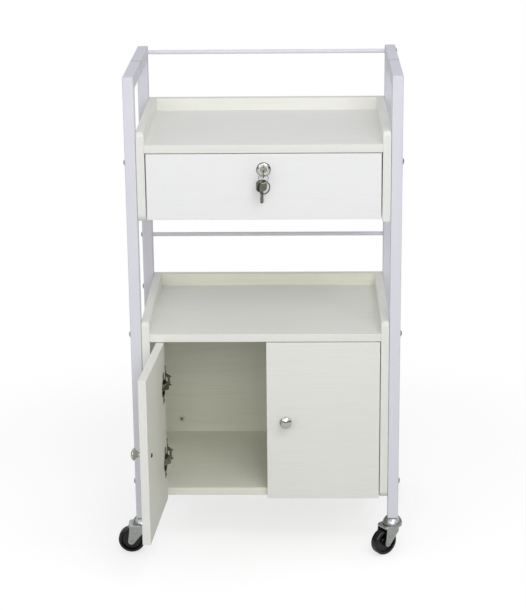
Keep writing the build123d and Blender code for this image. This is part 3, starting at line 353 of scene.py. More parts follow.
PAINT = Finish("powder_coat", rgb(227, 227, 233), 0.42, tone_change=0.012, bump_scale=1400.0,
               bump_height=0.00003, coat=0.05)
BOARD_X = Melamine("melamine_level_grain", rgb(239, 239, 231), 0.5, specular=0.3, tone_change=0.012, tone_scale=6.0)
BOARD_Y = Melamine("melamine_deep_grain", rgb(239, 239, 231), 0.5, specular=0.3, tone_change=0.012, tone_scale=6.0,
                   grain=Grain.ALONG_Y)
DRAWER_BOARD = Melamine("drawer_melamine", rgb(246, 246, 244), 0.45, specular=0.35, tone_change=0.01, tone_scale=6.0,
                        streak=0.012)
# Inner boards: the same melamine with the warm, greener tint of shade painted into its colour
SHADE_TINTED_BOARD_Y = Melamine("inner_melamine_deep_grain", rgb(238, 238, 224), 0.5, specular=0.3, tone_change=0.015,
                         tone_scale=6.0, grain=Grain.ALONG_Y)
SHADE_TINTED_BOARD_X = Melamine("inner_melamine_level_grain", rgb(240, 240, 224), 0.5, specular=0.3, tone_change=0.015,
                         tone_scale=6.0, streak=0.04)
LOCK_PLATE = Finish("polished_lock_plate", rgb(240, 240, 235), 0.16, metallic=1.0, tone_change=0.03,
                    tone_scale=200.0, rough_change=0.06, bump_height=0.000003)
NICKEL = Finish("bright_nickel", rgb(200, 200, 190), 0.17, metallic=1.0, tone_change=0.04, tone_scale=160.0,
                rough_change=0.05, bump_height=0.000004)
KEY_METAL = Finish("key_metal", rgb(134, 133, 122), 0.22, metallic=1.0, tone_change=0.12, tone_scale=240.0,
                   rough_change=0.1, bump_height=0.00001)
# Nickel darkened as painted shade: the dark reflection on the lock plate's outer lip and the shade in the keys' grooves
NICKEL_PAINTED_SHADE = Finish("dark_nickel", rgb(104, 103, 94), 0.3, metallic=1.0, tone_change=0.1, tone_scale=200.0)
SPRING_STEEL = Finish("spring_steel", rgb(88, 88, 78), 0.22, metallic=1.0, tone_change=0.1, tone_scale=220.0)
ZINC = Finish("zinc_plate", rgb(176, 180, 176), 0.3, metallic=1.0, tone_change=0.09, tone_scale=120.0,
              rough_change=0.12, bump_height=0.00001)
HINGE_STEEL = Finish("hinge_steel", rgb(138, 138, 122), 0.26, metallic=1.0, tone_change=0.1, tone_scale=140.0,
                     rough_change=0.1, bump_height=0.00001)
RUNNER_STEEL = Finish("runner_steel", rgb(205, 207, 210), 0.28, metallic=1.0, tone_change=0.05,
                      stretch=(1.0, 0.05, 1.0), rough_change=0.1)
CAM_METAL = Finish("cast_zinc", rgb(226, 226, 212), 0.45, metallic=0.35, tone_change=0.08, tone_scale=260.0)
NYLON = Finish("grey_nylon", rgb(206, 206, 210), 0.5, bump_height=0.00002)
SLEEVE_NYLON = Finish("dark_nylon", rgb(42, 42, 46), 0.55, bump_height=0.00002, tone_change=0.1)
# Dark steel of the door screws, also used as painted shade inside the cams' recesses
SCREW_STEEL_AND_RECESS_SHADE = Finish("dark_screw_steel", rgb(84, 84, 76), 0.4, metallic=0.9, tone_change=0.15, tone_scale=300.0)
# Bare steel of the rails' cut ends, made dark as the painted shade inside the seam's gap
BARE_STEEL_AND_SEAM_SHADE = Finish("bare_steel_edge", rgb(74, 74, 78), 0.5, metallic=0.4, tone_change=0.15, tone_scale=300.0)
BLACK = Finish("black_moulding", rgb(7, 7, 8), 0.24, specular=0.5, tone_change=0.3, tone_scale=60.0,
               rough_change=0.08, bump_scale=500.0, bump_height=0.00001)

CAD_FINISHES: tuple[tuple[Finish, tuple[str, ...]], ...] = (
    (PAINT, ("frame_front_left", "frame_front_right", "frame_rear_left", "frame_rear_right", "crossbar_top",
             "crossbar_middle")),
    (SLEEVE_NYLON, ("rail_sleeves",)),
    (ZINC, ("panel_inserts",)),
    (NYLON, ("caster_sockets",)),
    (BOARD_X, ("upper_shelf", "upper_back_panel", "cabinet_shelf")),
    # The cabinet's back panel and floor take the board colour with the painted shade tint
    (SHADE_TINTED_BOARD_X, ("cabinet_back_panel", "cabinet_floor")),
    (DRAWER_BOARD, ("drawer_front",)),
    (BOARD_X, ("drawer_back", "drawer_bottom", "right_door")),
    (BOARD_Y, ("left_door", "upper_panel_left", "upper_panel_right", "cabinet_panel_left", "cabinet_panel_right",
               "drawer_side_left", "drawer_side_right")),
    (ZINC, ("cam_bolts",)),
    (RUNNER_STEEL, ("runner_fixed_left", "runner_fixed_right", "runner_moving_left", "runner_moving_right")),
    (HINGE_STEEL, ("hinge_arms", "left_hinge_cups", "right_hinge_cups", "left_hinge_links", "right_hinge_links")),
    (ZINC, ("lock_nut", "lock_tongue")),
    (NICKEL, ("lock_core",)),
)


def body_of_node(frame: dict[str, Any], node: str) -> str:
    """Find the body that a CAD node belongs to.

    Args:
        node: The node's name.

    Returns:
        The body's name.
    """
    bodies = frame["record"]["behaviour"]["bodies"]
    return next(name for name, nodes in bodies.items() if node in nodes)


def joint_place(frame: dict[str, Any], name: str) -> tuple[Vector, Vector]:
    """Read a joint's place and axis.

    Args:
        name: The joint's name.

    Returns:
        The position in metres and the unit axis.
    """
    joint = next(entry for entry in frame["record"]["behaviour"]["joints"] if entry["name"] == name)
    return Vector(joint.get("pos_m", (0, 0, 0))), Vector(joint["axis"]).normalized()


def add_object(name: str, mesh: bpy.types.Mesh, finishes: Sequence[Finish]) -> bpy.types.Object:
    """Link a mesh into the scene as an object at the origin.

    Args:
        name: The piece's name.
        mesh: Its mesh, placed in the trolley's own frame.
        finishes: One finish for each material index.

    Returns:
        The new object.
    """
    for finish in finishes:
        mesh.materials.append(finish.material())
    made = bpy.data.objects.new(name, mesh)
    bpy.context.scene.collection.objects.link(made)
    return made


def smooth(mesh: bpy.types.Mesh, degrees: float = 34.0) -> None:
    """Shade a mesh smooth, except across edges sharper than the given angle.

    Args:
        mesh: The mesh.
        degrees: The largest angle that is still shaded smooth.
    """
    mesh.polygons.foreach_set("use_smooth", [True] * len(mesh.polygons))
    mesh.set_sharp_from_angle(angle=math.radians(degrees))


def soften(piece: bpy.types.Object, width: float, segments: int = 2) -> None:
    """Round a piece's sharp edges with a live bevel.

    Args:
        piece: The object.
        width: The bevel's width in metres.
        segments: Steps across the bevel.
    """
    bevel = piece.modifiers.new("edge_break", "BEVEL")
    bevel.width = width
    bevel.segments = segments
    bevel.limit_method = "ANGLE"
    bevel.angle_limit = math.radians(32)
    bevel.use_clamp_overlap = True
    bevel.harden_normals = True


def shaded_mesh(name: str, work: bmesh.types.BMesh, degrees: float = 34.0) -> bpy.types.Mesh:
    """Turn a mesh under construction into a shaded mesh.

    Args:
        name: The mesh's name.
        work: The mesh under construction, freed afterwards.
        degrees: The largest angle that is still shaded smooth.

    Returns:
        The mesh.
    """
    mesh = bpy.data.meshes.new(name)
    work.to_mesh(mesh)
    work.free()
    smooth(mesh, degrees)
    return mesh


def closed_mesh(name: str, work: bmesh.types.BMesh) -> bpy.types.Mesh:
    """Finish a closed mesh under construction: merge doubles, face outwards, shade.

    Args:
        name: The mesh's name.
        work: The mesh under construction, freed afterwards.

    Returns:
        The mesh.
    """
    bmesh.ops.remove_doubles(work, verts=work.verts, dist=1e-6)
    bmesh.ops.recalc_face_normals(work, faces=work.faces)
    return shaded_mesh(name, work)


def node_copy(frame: dict[str, Any], node: str) -> bmesh.types.BMesh:
    """Copy a CAD node's mesh, with its doubles merged and its flat faces joined.

    Args:
        node: The node's name.

    Returns:
        The copy, under construction.
    """
    work = bmesh.new()
    work.from_mesh(frame["nodes"][node].data)
    bmesh.ops.remove_doubles(work, verts=work.verts, dist=2e-6)
    bmesh.ops.dissolve_limit(work, angle_limit=math.radians(1), verts=work.verts, edges=work.edges)
    return work


def node_box(node: str) -> tuple[Vector, Vector]:
    """The lowest and highest corners of a CAD node, in metres."""
    low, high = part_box(node)
    return Vector(low), Vector(high)


def add_turned(work: bmesh.types.BMesh, profile: Sequence[tuple[float, float]], place: Matrix,
               steps: int = 64, index: int = 0) -> None:
    """Turn a profile about a local Z axis and add it to a mesh.

    Args:
        work: The mesh under construction.
        profile: Radius and height pairs in millimetres, from one pole or rim to the other.
        place: The placement of the local frame, in metres.
        steps: Steps round the axis.
        index: The material index of its faces.
    """
    rings: list[list[bmesh.types.BMVert]] = []
    for radius, height in profile:
        if radius < 1e-6:
            rings.append([work.verts.new(place @ Vector((0, 0, height * MM)))])
            continue
        turn = [2 * math.pi * step / steps for step in range(steps)]
        rings.append([work.verts.new(place @ Vector((radius * MM * math.cos(a), radius * MM * math.sin(a),
                                                     height * MM))) for a in turn])
    for low, high in zip(rings, rings[1:]):
        for step in range(steps):
            after = (step + 1) % steps
            corners = [low[step % len(low)], low[after % len(low)], high[after % len(high)], high[step % len(high)]]
            unique = list(dict.fromkeys(corners))
            if len(unique) > 2:
                work.faces.new(unique).material_index = index


def arc_points(centre: tuple[float, float], radius: float, start: float, end: float,
               steps: int = 6) -> list[tuple[float, float]]:
    """Points along an arc of a profile.

    Args:
        centre: The arc's centre.
        radius: Its radius.
        start: Its first angle in degrees.
        end: Its last angle in degrees.
        steps: The number of steps.

    Returns:
        The points, both ends included.
    """
    angles = [math.radians(start + (end - start) * step / steps) for step in range(steps + 1)]
    return [(centre[0] + radius * math.cos(a), centre[1] + radius * math.sin(a)) for a in angles]


def add_plate(work: bmesh.types.BMesh, outline: Sequence[tuple[float, float]], thick: float, place: Matrix,
              holes: Iterable[Sequence[tuple[float, float]]] = (), index: int = 0) -> None:
    """Add a flat plate with holes, centred on its local XY plane.

    Args:
        work: The mesh under construction.
        outline: The outer outline in millimetres.
        thick: The thickness in millimetres.
        place: The placement of the local frame, in metres.
        holes: Outlines of the holes in millimetres.
        index: The material index of its faces.
    """
    part = bmesh.new()
    edges: list[bmesh.types.BMEdge] = []
    for loop in [outline, *holes]:
        verts = [part.verts.new((x * MM, y * MM, -thick * MM / 2)) for x, y in loop]
        edges += [part.edges.new((verts[i - 1], verts[i])) for i in range(len(verts))]
    bmesh.ops.triangle_fill(part, edges=edges, use_beauty=True, use_dissolve=True)
    grown = bmesh.ops.extrude_face_region(part, geom=part.faces[:])
    lifted = [item for item in grown["geom"] if isinstance(item, bmesh.types.BMVert)]
    bmesh.ops.translate(part, verts=lifted, vec=(0, 0, thick * MM))
    bmesh.ops.recalc_face_normals(part, faces=part.faces)
    for face in part.faces:
        face.material_index = index
    part.transform(place)
    plate = bpy.data.meshes.new("plate")
    part.to_mesh(plate)
    part.free()
    work.from_mesh(plate)
    bpy.data.meshes.remove(plate)


def framed(x_axis: Vector, y_axis: Vector, z_axis: Vector, origin: Vector) -> Matrix:
    """A placement from its three local axes and its origin in metres."""
    return Matrix((*zip(x_axis, y_axis, z_axis, origin), (0, 0, 0, 1)))


def aimed(origin: Vector, axis: Vector) -> Matrix:
    """A placement whose local Z points along an axis.

    Args:
        origin: The local origin, in metres.
        axis: The direction of local Z.

    Returns:
        The placement.
    """
    return Matrix.Translation(origin) @ axis.to_track_quat("Z", "Y").to_matrix().to_4x4()


@dataclass(frozen=True)
class Head:
    """The sizes of a screw's head, of the recess in it and of its shank, in millimetres."""

    radius: float = 6.0
    rise: float = 3.5
    recess_radius: float = 1.7
    recess_depth: float = 2.0
    shank_radius: float = 2.5
    shank_length: float = 30.0

    def inputs(self) -> dict[str, float]:
        """The sizes in metres, by the names of the geometry tree's inputs."""
        names = ("Head Radius", "Head Rise", "Recess Radius", "Recess Depth", "Shank Radius", "Shank Length")
        return {name: size * MM for name, size in zip(names, astuple(self))}


class HardwareTree:
    """A geometry tree that sets one small turned head on each point of a mesh."""

    def __init__(self, drive: Drive, flat: bool) -> None:
        """Describe the head.

        Args:
            drive: The recess's shape.
            flat: True for a flat face, as on a cam, and False for a dome.
        """
        self.drive = drive
        self.flat = flat

    def tree(self, finish: Finish) -> bpy.types.NodeTree:
        """Build the tree.

        Args:
            finish: The finish of every head.

        Returns:
            The geometry node group.
        """
        group = bpy.data.node_groups.new("heads_" + self.drive.value + ("_flat" if self.flat else "_dome"),
                                         "GeometryNodeTree")
        face = group.interface
        face.new_socket("Geometry", in_out="INPUT", socket_type="NodeSocketGeometry")
        for name, value in Head().inputs().items():
            face.new_socket(name, in_out="INPUT", socket_type="NodeSocketFloat").default_value = value
        face.new_socket("Geometry", in_out="OUTPUT", socket_type="NodeSocketGeometry")
        graph = Graph(group)
        given = graph.add("NodeGroupInput").outputs
        head = self._head(graph, given)
        facing = graph.add("GeometryNodeInputNamedAttribute", {"Name": "facing"}, data_type="FLOAT_VECTOR")
        turn = graph.add("FunctionNodeAlignRotationToVector", {"Vector": facing.outputs["Attribute"]}, axis="Z")
        points = graph.add("GeometryNodeMeshToPoints", {"Mesh": given["Geometry"]})
        placed = graph.add("GeometryNodeInstanceOnPoints", {
            "Points": points.outputs["Points"], "Instance": head, "Rotation": turn.outputs["Rotation"]})
        graph.finished(placed.outputs["Instances"], finish)
        return group

    def _head(self, graph: Graph, given: Any) -> bpy.types.NodeSocket:
        """Build one head with its shank, its seat at the origin and its face along +Z.

        Args:
            graph: The tree's graph.
            given: The group's inputs.

        Returns:
            The head's geometry.
        """
        radius, rise, recess = given["Head Radius"], given["Head Rise"], given["Recess Radius"]
        if self.flat:
            disc = graph.add("GeometryNodeMeshCylinder", {"Vertices": 48, "Radius": radius, "Depth": rise})
            lift = graph.vector(0.0, 0.0, graph.math("MULTIPLY", rise, 0.5))
            solid = graph.moved(disc.outputs["Mesh"], Translation=lift)
        else:
            ball = graph.add("GeometryNodeMeshUVSphere", {"Segments": 40, "Rings": 22, "Radius": 1.0})
            solid = graph.moved(ball.outputs["Mesh"], Scale=graph.vector(radius, radius, rise))
        depth = graph.math("MULTIPLY", given["Recess Depth"], 2.0)
        top = graph.vector(0.0, 0.0, rise)
        if self.drive is Drive.HEX:
            cutters = [graph.add("GeometryNodeMeshCylinder", {"Vertices": 6, "Radius": recess, "Depth": depth})]
        else:
            long, thin = graph.math("MULTIPLY", recess, 2.0), graph.math("MULTIPLY", recess, 0.5)
            cutters = [graph.add("GeometryNodeMeshCube", {"Size": graph.vector(wide, deep, depth)})
                       for wide, deep in ((long, thin), (thin, long))]
        for cutter in cutters:
            solid = graph.add("GeometryNodeMeshBoolean", {
                0: solid, 1: graph.moved(cutter.outputs["Mesh"], Translation=top)},
                operation="DIFFERENCE").outputs["Mesh"]
        rod = graph.add("GeometryNodeMeshCylinder", {
            "Vertices": 20, "Radius": given["Shank Radius"], "Depth": given["Shank Length"]})
        drop = graph.vector(0.0, 0.0, graph.math("MULTIPLY", given["Shank Length"], -0.5))
        shank = graph.moved(rod.outputs["Mesh"], Translation=drop)
        joined = graph.add("GeometryNodeJoinGeometry")
        graph.tree.links.new(shank, joined.inputs["Geometry"])
        graph.tree.links.new(solid, joined.inputs["Geometry"])
        return joined.outputs["Geometry"]


def grow(name: str, group: bpy.types.NodeTree, mesh: bpy.types.Mesh, values: dict[str, float]) -> bpy.types.Object:
    """Run a geometry tree on a mesh and keep the result as a plain object.

    Args:
        name: The piece's name.
        group: The geometry tree.
        mesh: The mesh that it starts from.
        values: The tree's inputs by socket name.

    Returns:
        The finished object at the origin.
    """
    seed = bpy.data.objects.new(name + "_seed", mesh)
    bpy.context.scene.collection.objects.link(seed)
    modifier = seed.modifiers.new("grow", "NODES")
    modifier.node_group = group
    for item in group.interface.items_tree:
        if item.item_type == "SOCKET" and item.in_out == "INPUT" and item.name in values:
            modifier[item.identifier] = values[item.name]
    evaluated = seed.evaluated_get(bpy.context.evaluated_depsgraph_get())
    result = bpy.data.meshes.new_from_object(evaluated)
    result.name = name
    smooth(result)
    bpy.data.objects.remove(seed)
    made = bpy.data.objects.new(name, result)
    bpy.context.scene.collection.objects.link(made)
    return made


def seat_mesh(name: str, seats: Sequence[tuple[Vector, Vector]]) -> bpy.types.Mesh:
    """A mesh of points, each with the direction that its head faces.

    Args:
        name: The mesh's name.
        seats: Place and facing pairs, in metres.

    Returns:
        The mesh.
    """
    mesh = bpy.data.meshes.new(name)
    mesh.from_pydata([tuple(place) for place, _ in seats], [], [])
    facing = mesh.attributes.new("facing", "FLOAT_VECTOR", "POINT")
    facing.data.foreach_set("vector", [level for _, way in seats for level in way])
    return mesh


@dataclass
class Assembly:
    """A sub-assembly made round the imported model."""

    frame: dict[str, Any]

    def stand_in(self, piece: bpy.types.Object, body: str, node: str) -> None:
        """Let a finished piece ride on its body in place of a CAD node, and report it.

        Args:
            piece: The piece.
            body: The body that it rides on.
            node: The CAD node that it stands for.
        """
        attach(piece, body)
        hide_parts(node)
        LOG.info("made %s on %s", piece.name, body)


@dataclass
class CadDressing(Assembly):
    """Copies of the CAD nodes with merged faces, broken edges and their finishes."""

    edge: float = 0.35 * MM
    small_edge: float = 0.15 * MM
    small: tuple[str, ...] = ("lock_core", "lock_tongue", "lock_nut", "left_hinge_links", "right_hinge_links",
                              "left_hinge_cups", "right_hinge_cups", "hinge_arms", "runner_fixed_left",
                              "runner_fixed_right", "runner_moving_left", "runner_moving_right", "cam_bolts",
                              "panel_inserts", "rail_sleeves")
    rounded: tuple[str, ...] = ("upper_panel_left", "upper_panel_right", "cabinet_panel_left", "cabinet_panel_right")
    corner: float = 10.0 * MM
    seam_reach: float = 1.3 * MM
    squarely: float = 0.9
    near: float = 0.1 * MM

    def build(self) -> None:
        """Dress every node that keeps its CAD shape."""
        for finish, nodes in CAD_FINISHES:
            for node in nodes:
                self._dress(node, finish)

    def _dress(self, node: str, finish: Finish) -> None:
        """Copy one node, merge its triangles and break its edges.

        Args:
            node: The node's name.
            finish: Its finish.
        """
        work = node_copy(self.frame, node)
        if node in self.rounded:
            self._round_corner(work)
        mesh = shaded_mesh(node + "_dressed", work)
        # Second material: the painted shade tint on the left door's inner face, and bare steel darkened as painted seam
        # shade on the frame
        second = SHADE_TINTED_BOARD_Y if node == "left_door" else BARE_STEEL_AND_SEAM_SHADE
        piece = add_object(node + "_dressed", mesh, [finish, second])
        if finish is PAINT:
            self._paint_seam_shade(mesh)
        if node == "left_door":
            self._paint_inner_shade_tint(mesh)
        soften(piece, self.small_edge if node in self.small else self.edge)
        self.stand_in(piece, body_of_node(self.frame, node), node)

    def _paint_seam_shade(self, mesh: bpy.types.Mesh) -> None:
        """Give the cut ends of the rail halves, at the seam in the middle of each rail, bare steel darkened as painted
        shade of the gap.

        Args:
            mesh: The mesh of one painted node.
        """
        # Faces at the seam get the darkened steel: painted shade of the gap
        for face in mesh.polygons:
            if abs(face.center.y) < self.seam_reach and abs(face.normal.y) > self.squarely:
                face.material_index = 1

    def _paint_inner_shade_tint(self, mesh: bpy.types.Mesh) -> None:
        """Give the open door's inner face the inner boards' painted shade tint.

        Args:
            mesh: The door's mesh.
        """
        for face in mesh.polygons:
            if face.normal.x > self.squarely:
                face.material_index = 1

    def _round_corner(self, work: bmesh.types.BMesh) -> None:
        """Round the upper front corner of a side panel.

        Args:
            work: The panel's mesh.
        """
        front = min(vert.co.y for vert in work.verts)
        top = max(vert.co.z for vert in work.verts)
        edges = [edge for edge in work.edges
                 if all(vert.co.y < front + self.near and vert.co.z > top - self.near for vert in edge.verts)]
        bmesh.ops.bevel(work, geom=edges, offset=self.corner, segments=8, profile=0.5, affect="EDGES")


@dataclass
class FrameHardware(Assembly):
    """The dome-head bolts of the frame and the cams of the boards, set out by geometry trees."""

    bolt: Head = Head(6.0, 3.4, 1.9, 1.8, 2.5, 30.0)
    cam: Head = Head(7.5, 12.0, 4.0, 4.0, 1.0, 0.05)
    tray_bolt_z: float = 767.5 * MM
    cabinet_bolt_z: float = 441.0 * MM
    insert_radius: float = 4.5 * MM
    cam_height: float = 12.0 * MM
    near: float = 0.2 * MM
    recess_reach: float = 4.2 * MM
    cross_reach: float = 4.8 * MM
    cam_setback: float = 34.0 * MM
    bolt_inset: float = 12.5 * MM
    row: float = 105.0 * MM
    end: float = 42.0 * MM

    def build(self) -> None:
        """Make the bolts and the cams."""
        bolts = grow("frame_bolt_heads", HardwareTree(Drive.HEX, False).tree(ZINC),
                     seat_mesh("bolt_seats", self._bolt_seats()), self.bolt.inputs())
        self.stand_in(bolts, "frame", "frame_bolts")
        cams = grow("board_cams", HardwareTree(Drive.CROSS, True).tree(CAM_METAL),
                    seat_mesh("cam_seats", self._cam_seats()), self.cam.inputs())
        self._paint_recess_shade(cams.data)
        self.stand_in(cams, "frame", "cam_fittings")

    def _paint_recess_shade(self, mesh: bpy.types.Mesh) -> None:
        """Paint shade into the cams' cross recesses with the dark screw steel.

        Args:
            mesh: The mesh of all cams.
        """
        mesh.materials.append(SCREW_STEEL_AND_RECESS_SHADE.material())
        seats = self._cam_seats()
        tree = KDTree(len(seats))
        for index, (seat, facing) in enumerate(seats):
            tree.insert(seat + facing * self.cam_height, index)
        tree.balance()
        # Faces just below each cam's face and near its axis lie in the recess and get the painted shade
        for face in mesh.polygons:
            top, index, _ = tree.find(face.center)
            away = face.center - top
            depth = -away.dot(seats[index][1])
            across = (away + seats[index][1] * depth).length
            if self.near < depth < self.recess_reach and across < self.cross_reach:
                face.material_index = len(mesh.materials) - 1

    def _bolt_seats(self) -> list[tuple[Vector, Vector]]:
        """Find the seats of the sixteen bolts, on the uprights' outer faces.

        Returns:
            Place and facing pairs, in metres.
        """
        corner = node_box("frame_front_left")[0]
        outer, depth = abs(corner.x), abs(corner.y) - self.bolt_inset
        heights = [self.tray_bolt_z, self.cabinet_bolt_z, node_box("panel_inserts")[0].z + self.insert_radius]
        bars = [sum(end.z for end in node_box(name)) / 2 for name in ("crossbar_top", "crossbar_middle")]
        seats = [(x, y, z) for x in (-outer, outer) for y in (-depth, depth) for z in heights]
        seats += [(x, depth, z) for x in (-outer, outer) for z in bars]
        return [(Vector(seat), Vector((math.copysign(1, seat[0]), 0, 0))) for seat in seats]

    def _cam_seats(self) -> list[tuple[Vector, Vector]]:
        """Find the bottoms of the cams' bores, each with the way its cam faces.

        Returns:
            Place and facing pairs, in metres.
        """
        shelf = node_box("upper_shelf")[1]
        x = shelf.x - self.cam_setback
        seats: list[tuple[Vector, Vector]] = []
        for node in ("upper_back_panel", "cabinet_back_panel"):
            low, high = node_box(node)
            for z in (low.z + self.end, high.z - self.end):
                seats += [(Vector((side * x, shelf.y + self.cam_height, z)), Vector((0, -1, 0))) for side in (-1, 1)]
        for node in ("upper_shelf", "cabinet_shelf", "cabinet_floor"):
            top = node_box(node)[0].z + self.cam_height
            seats += [(Vector((side * x, row, top)), Vector((0, 0, -1)))
                      for side in (-1, 1) for row in (-self.row, self.row)]
        return seats


@dataclass
class Casters(Assembly):
    """Four casters: dome and stem, pressed fork and moulded wheel."""

    names: tuple[str, ...] = ("front_left", "front_right", "rear_left", "rear_right")
    wheel_radius: float = 25.4
    half_width: float = 9.0
    tread_edge: float = 4.0
    rim_radius: float = 18.6
    web_half: float = 4.0
    hub_radius: float = 7.5
    hub_half: float = 12.55
    bore_radius: float = 2.6
    dome_radius: float = 18.7
    dome_top: float = 73.0
    dome_low: float = 59.45
    dome_bend: float = 20.15
    dome_bend_middle: tuple[float, float] = (-1.0, 56.27)
    pin_radius: float = 4.0
    pin_head: float = 7.0
    pin_under: float = 56.55
    rivet_radius: float = 3.4
    rivet_seat: float = 14.9
    stem_radius: float = 5.5
    stem_top: float = 103.0
    fork_edge: float = 0.3

    def build(self) -> None:
        """Make all four casters."""
        domes = bmesh.new()
        for name in self.names:
            swivel, _ = joint_place(self.frame, "caster_swivel_" + name)
            axle, axis = joint_place(self.frame, "caster_spin_" + name)
            add_turned(domes, self._dome_profile(), Matrix.Translation((swivel.x, swivel.y, 0)), steps=72)
            self._wheel(name, axle, axis)
            self._fork(name, axle, axis)
        stems = add_object("caster_domes", closed_mesh("caster_domes", domes), [ZINC])
        self.stand_in(stems, "frame", "caster_stems")

    def _dome_profile(self) -> list[tuple[float, float]]:
        """Draw the turned outline of the stem, the upper race's dome and the king pin below it.

        Returns:
            Radius and height pairs in millimetres.
        """
        rim = self.dome_radius
        top, low = self.dome_top, self.dome_low
        stem = [(0.0, self.stem_top), (self.stem_radius - 1, self.stem_top), (self.stem_radius, self.stem_top - 1),
                (self.stem_radius, top), (rim * 0.53, top)]
        shell = arc_points(self.dome_bend_middle, self.dome_bend, 55, 13, 12)
        lip = [(rim, low + 0.9), (rim, low + 0.2), (rim - 0.3, low), (rim - 1.7, low), (rim - 2, low + 0.3),
               (rim - 2, low + 2), (self.pin_radius, low + 2)]
        head = [(self.pin_radius, self.pin_under), (self.pin_head, self.pin_under),
                (self.pin_head - 1.5, self.pin_under - 1.9), (0.0, self.pin_under - 1.9)]
        return stem + shell + lip + head

    def _wheel(self, name: str, axle: Vector, axis: Vector) -> None:
        """Make one wheel.

        Args:
            name: The caster's name.
            axle: The wheel's centre.
            axis: The wheel's axis.
        """
        radius, half, edge = self.wheel_radius, self.half_width, self.tread_edge
        side = [(self.bore_radius, self.hub_half), (self.hub_radius - 1.2, self.hub_half),
                (self.hub_radius - 0.7, self.hub_half - 0.4), (self.hub_radius, self.web_half + 0.6),
                (self.hub_radius + 0.7, self.web_half), (self.rim_radius - 0.9, self.web_half),
                (self.rim_radius - 0.2, self.web_half + 0.6), (self.rim_radius + 0.9, half - 0.5),
                (self.rim_radius + 1.4, half)]
        side += [(r, z) for r, z in arc_points((radius - edge, half - edge), edge, 90, 0, 8)]
        profile = side + [(r, -z) for r, z in reversed(side)] + [side[0]]
        work = bmesh.new()
        add_turned(work, profile, aimed(axle, axis), steps=96)
        wheel = add_object("wheel_" + name, closed_mesh("wheel_" + name, work), [BLACK])
        self.stand_in(wheel, "caster_wheel_" + name, "caster_wheel_" + name)

    def _fork(self, name: str, axle: Vector, axis: Vector) -> None:
        """Dress one fork and put domed rivet heads on its axle.

        Args:
            name: The caster's name.
            axle: The wheel's centre.
            axis: The wheel's axis.
        """
        node = "caster_fork_" + name
        work = node_copy(self.frame, node)
        rivet = [(self.rivet_radius + r, self.rivet_seat + z)
                 for r, z in ((0, 0), (0, 0.5), (-0.3, 0.9), (-1.0, 1.2), (-2.0, 1.3))] + [(0.0, self.rivet_seat + 1.3)]
        for way in (axis, -axis):
            add_turned(work, rivet, aimed(axle, way), steps=32)
        fork = add_object("fork_" + name, shaded_mesh("fork_" + name, work, 40.0), [ZINC])
        soften(fork, self.fork_edge * MM)
        self.stand_in(fork, node, node)


@dataclass
class Knobs(Assembly):
    """The two door knobs and the screws that hold them."""

    radius: float = 11.5
    base_radius: float = 6.0
    neck_radius: float = 4.0
    reach: float = 23.0
    board: float = 15.0
    screw: Head = Head(4.25, 2.1, 1.7, 1.1, 2.0, 20.0)

    def build(self) -> None:
        """Make both knobs where their doors stand."""
        for side in ("left", "right"):
            knob_middle = sum(node_box(side + "_knob"), Vector()) / 2
            screw_middle = sum(node_box(side + "_knob_screw"), Vector()) / 2
            away = knob_middle - screw_middle
            away.z = 0
            away.normalize()
            seat = self._seat(side, screw_middle, away)
            self._knob(side, seat, away)
            self._screw(side, seat, away)

    def _seat(self, side: str, middle: Vector, away: Vector) -> Vector:
        """Find where the knob's axis meets its door's outer face.

        Args:
            side: The door's side.
            middle: A point on the knob's axis.
            away: The way the knob points.

        Returns:
            The seat.
        """
        reaches = [(Vector(v.co) - middle).dot(away) for v in self.frame["nodes"][side + "_knob"].data.vertices]
        return middle + away * min(reaches)

    def _knob(self, side: str, seat: Vector, away: Vector) -> None:
        """Turn one knob.

        Args:
            side: The door's side.
            seat: Where it sits on the door.
            away: The way it points.
        """
        work = bmesh.new()
        neck, rim, reach = self.neck_radius, self.radius, self.reach
        foot = [(0.0, 0.0), (self.base_radius - 0.3, 0.0), (self.base_radius, 0.3), (self.base_radius, 1.1),
                (self.base_radius - 0.5, 1.6), (neck + 0.9, 2.2), (neck + 0.1, 3.2), (neck - 0.3, 4.6)]
        flare = [(neck - 0.2, 6.4), (neck + 0.4, 8.4), (neck + 1.6, 10.4), (neck + 3.3, 12.4), (neck + 5.2, 14.2),
                 (rim - 0.7, 15.9), (rim - 0.15, 16.7)]
        crown = [(rim, 17.3), (rim - 0.2, 18.0), (rim - 0.9, 18.9), (rim - 2.2, 20.0), (rim - 4.2, 21.2),
                 (rim - 6.6, 22.1), (rim - 9.0, 22.7), (0.0, reach)]
        add_turned(work, foot + flare + crown, aimed(seat, away), steps=72)
        knob = add_object(side + "_door_knob", closed_mesh(side + "_door_knob", work), [NICKEL])
        self.stand_in(knob, side + "_door", side + "_knob")

    def _screw(self, side: str, seat: Vector, away: Vector) -> None:
        """Make the screw whose head shows on the door's inner face.

        Args:
            side: The door's side.
            seat: Where the knob sits on the door.
            away: The way the knob points.
        """
        inner = seat - away * self.board * MM
        screw = grow(side + "_door_screw", HardwareTree(Drive.CROSS, False).tree(SCREW_STEEL_AND_RECESS_SHADE),
                     seat_mesh(side + "_screw_seat", [(inner, -away)]), self.screw.inputs())
        self.stand_in(screw, side + "_door", side + "_knob_screw")


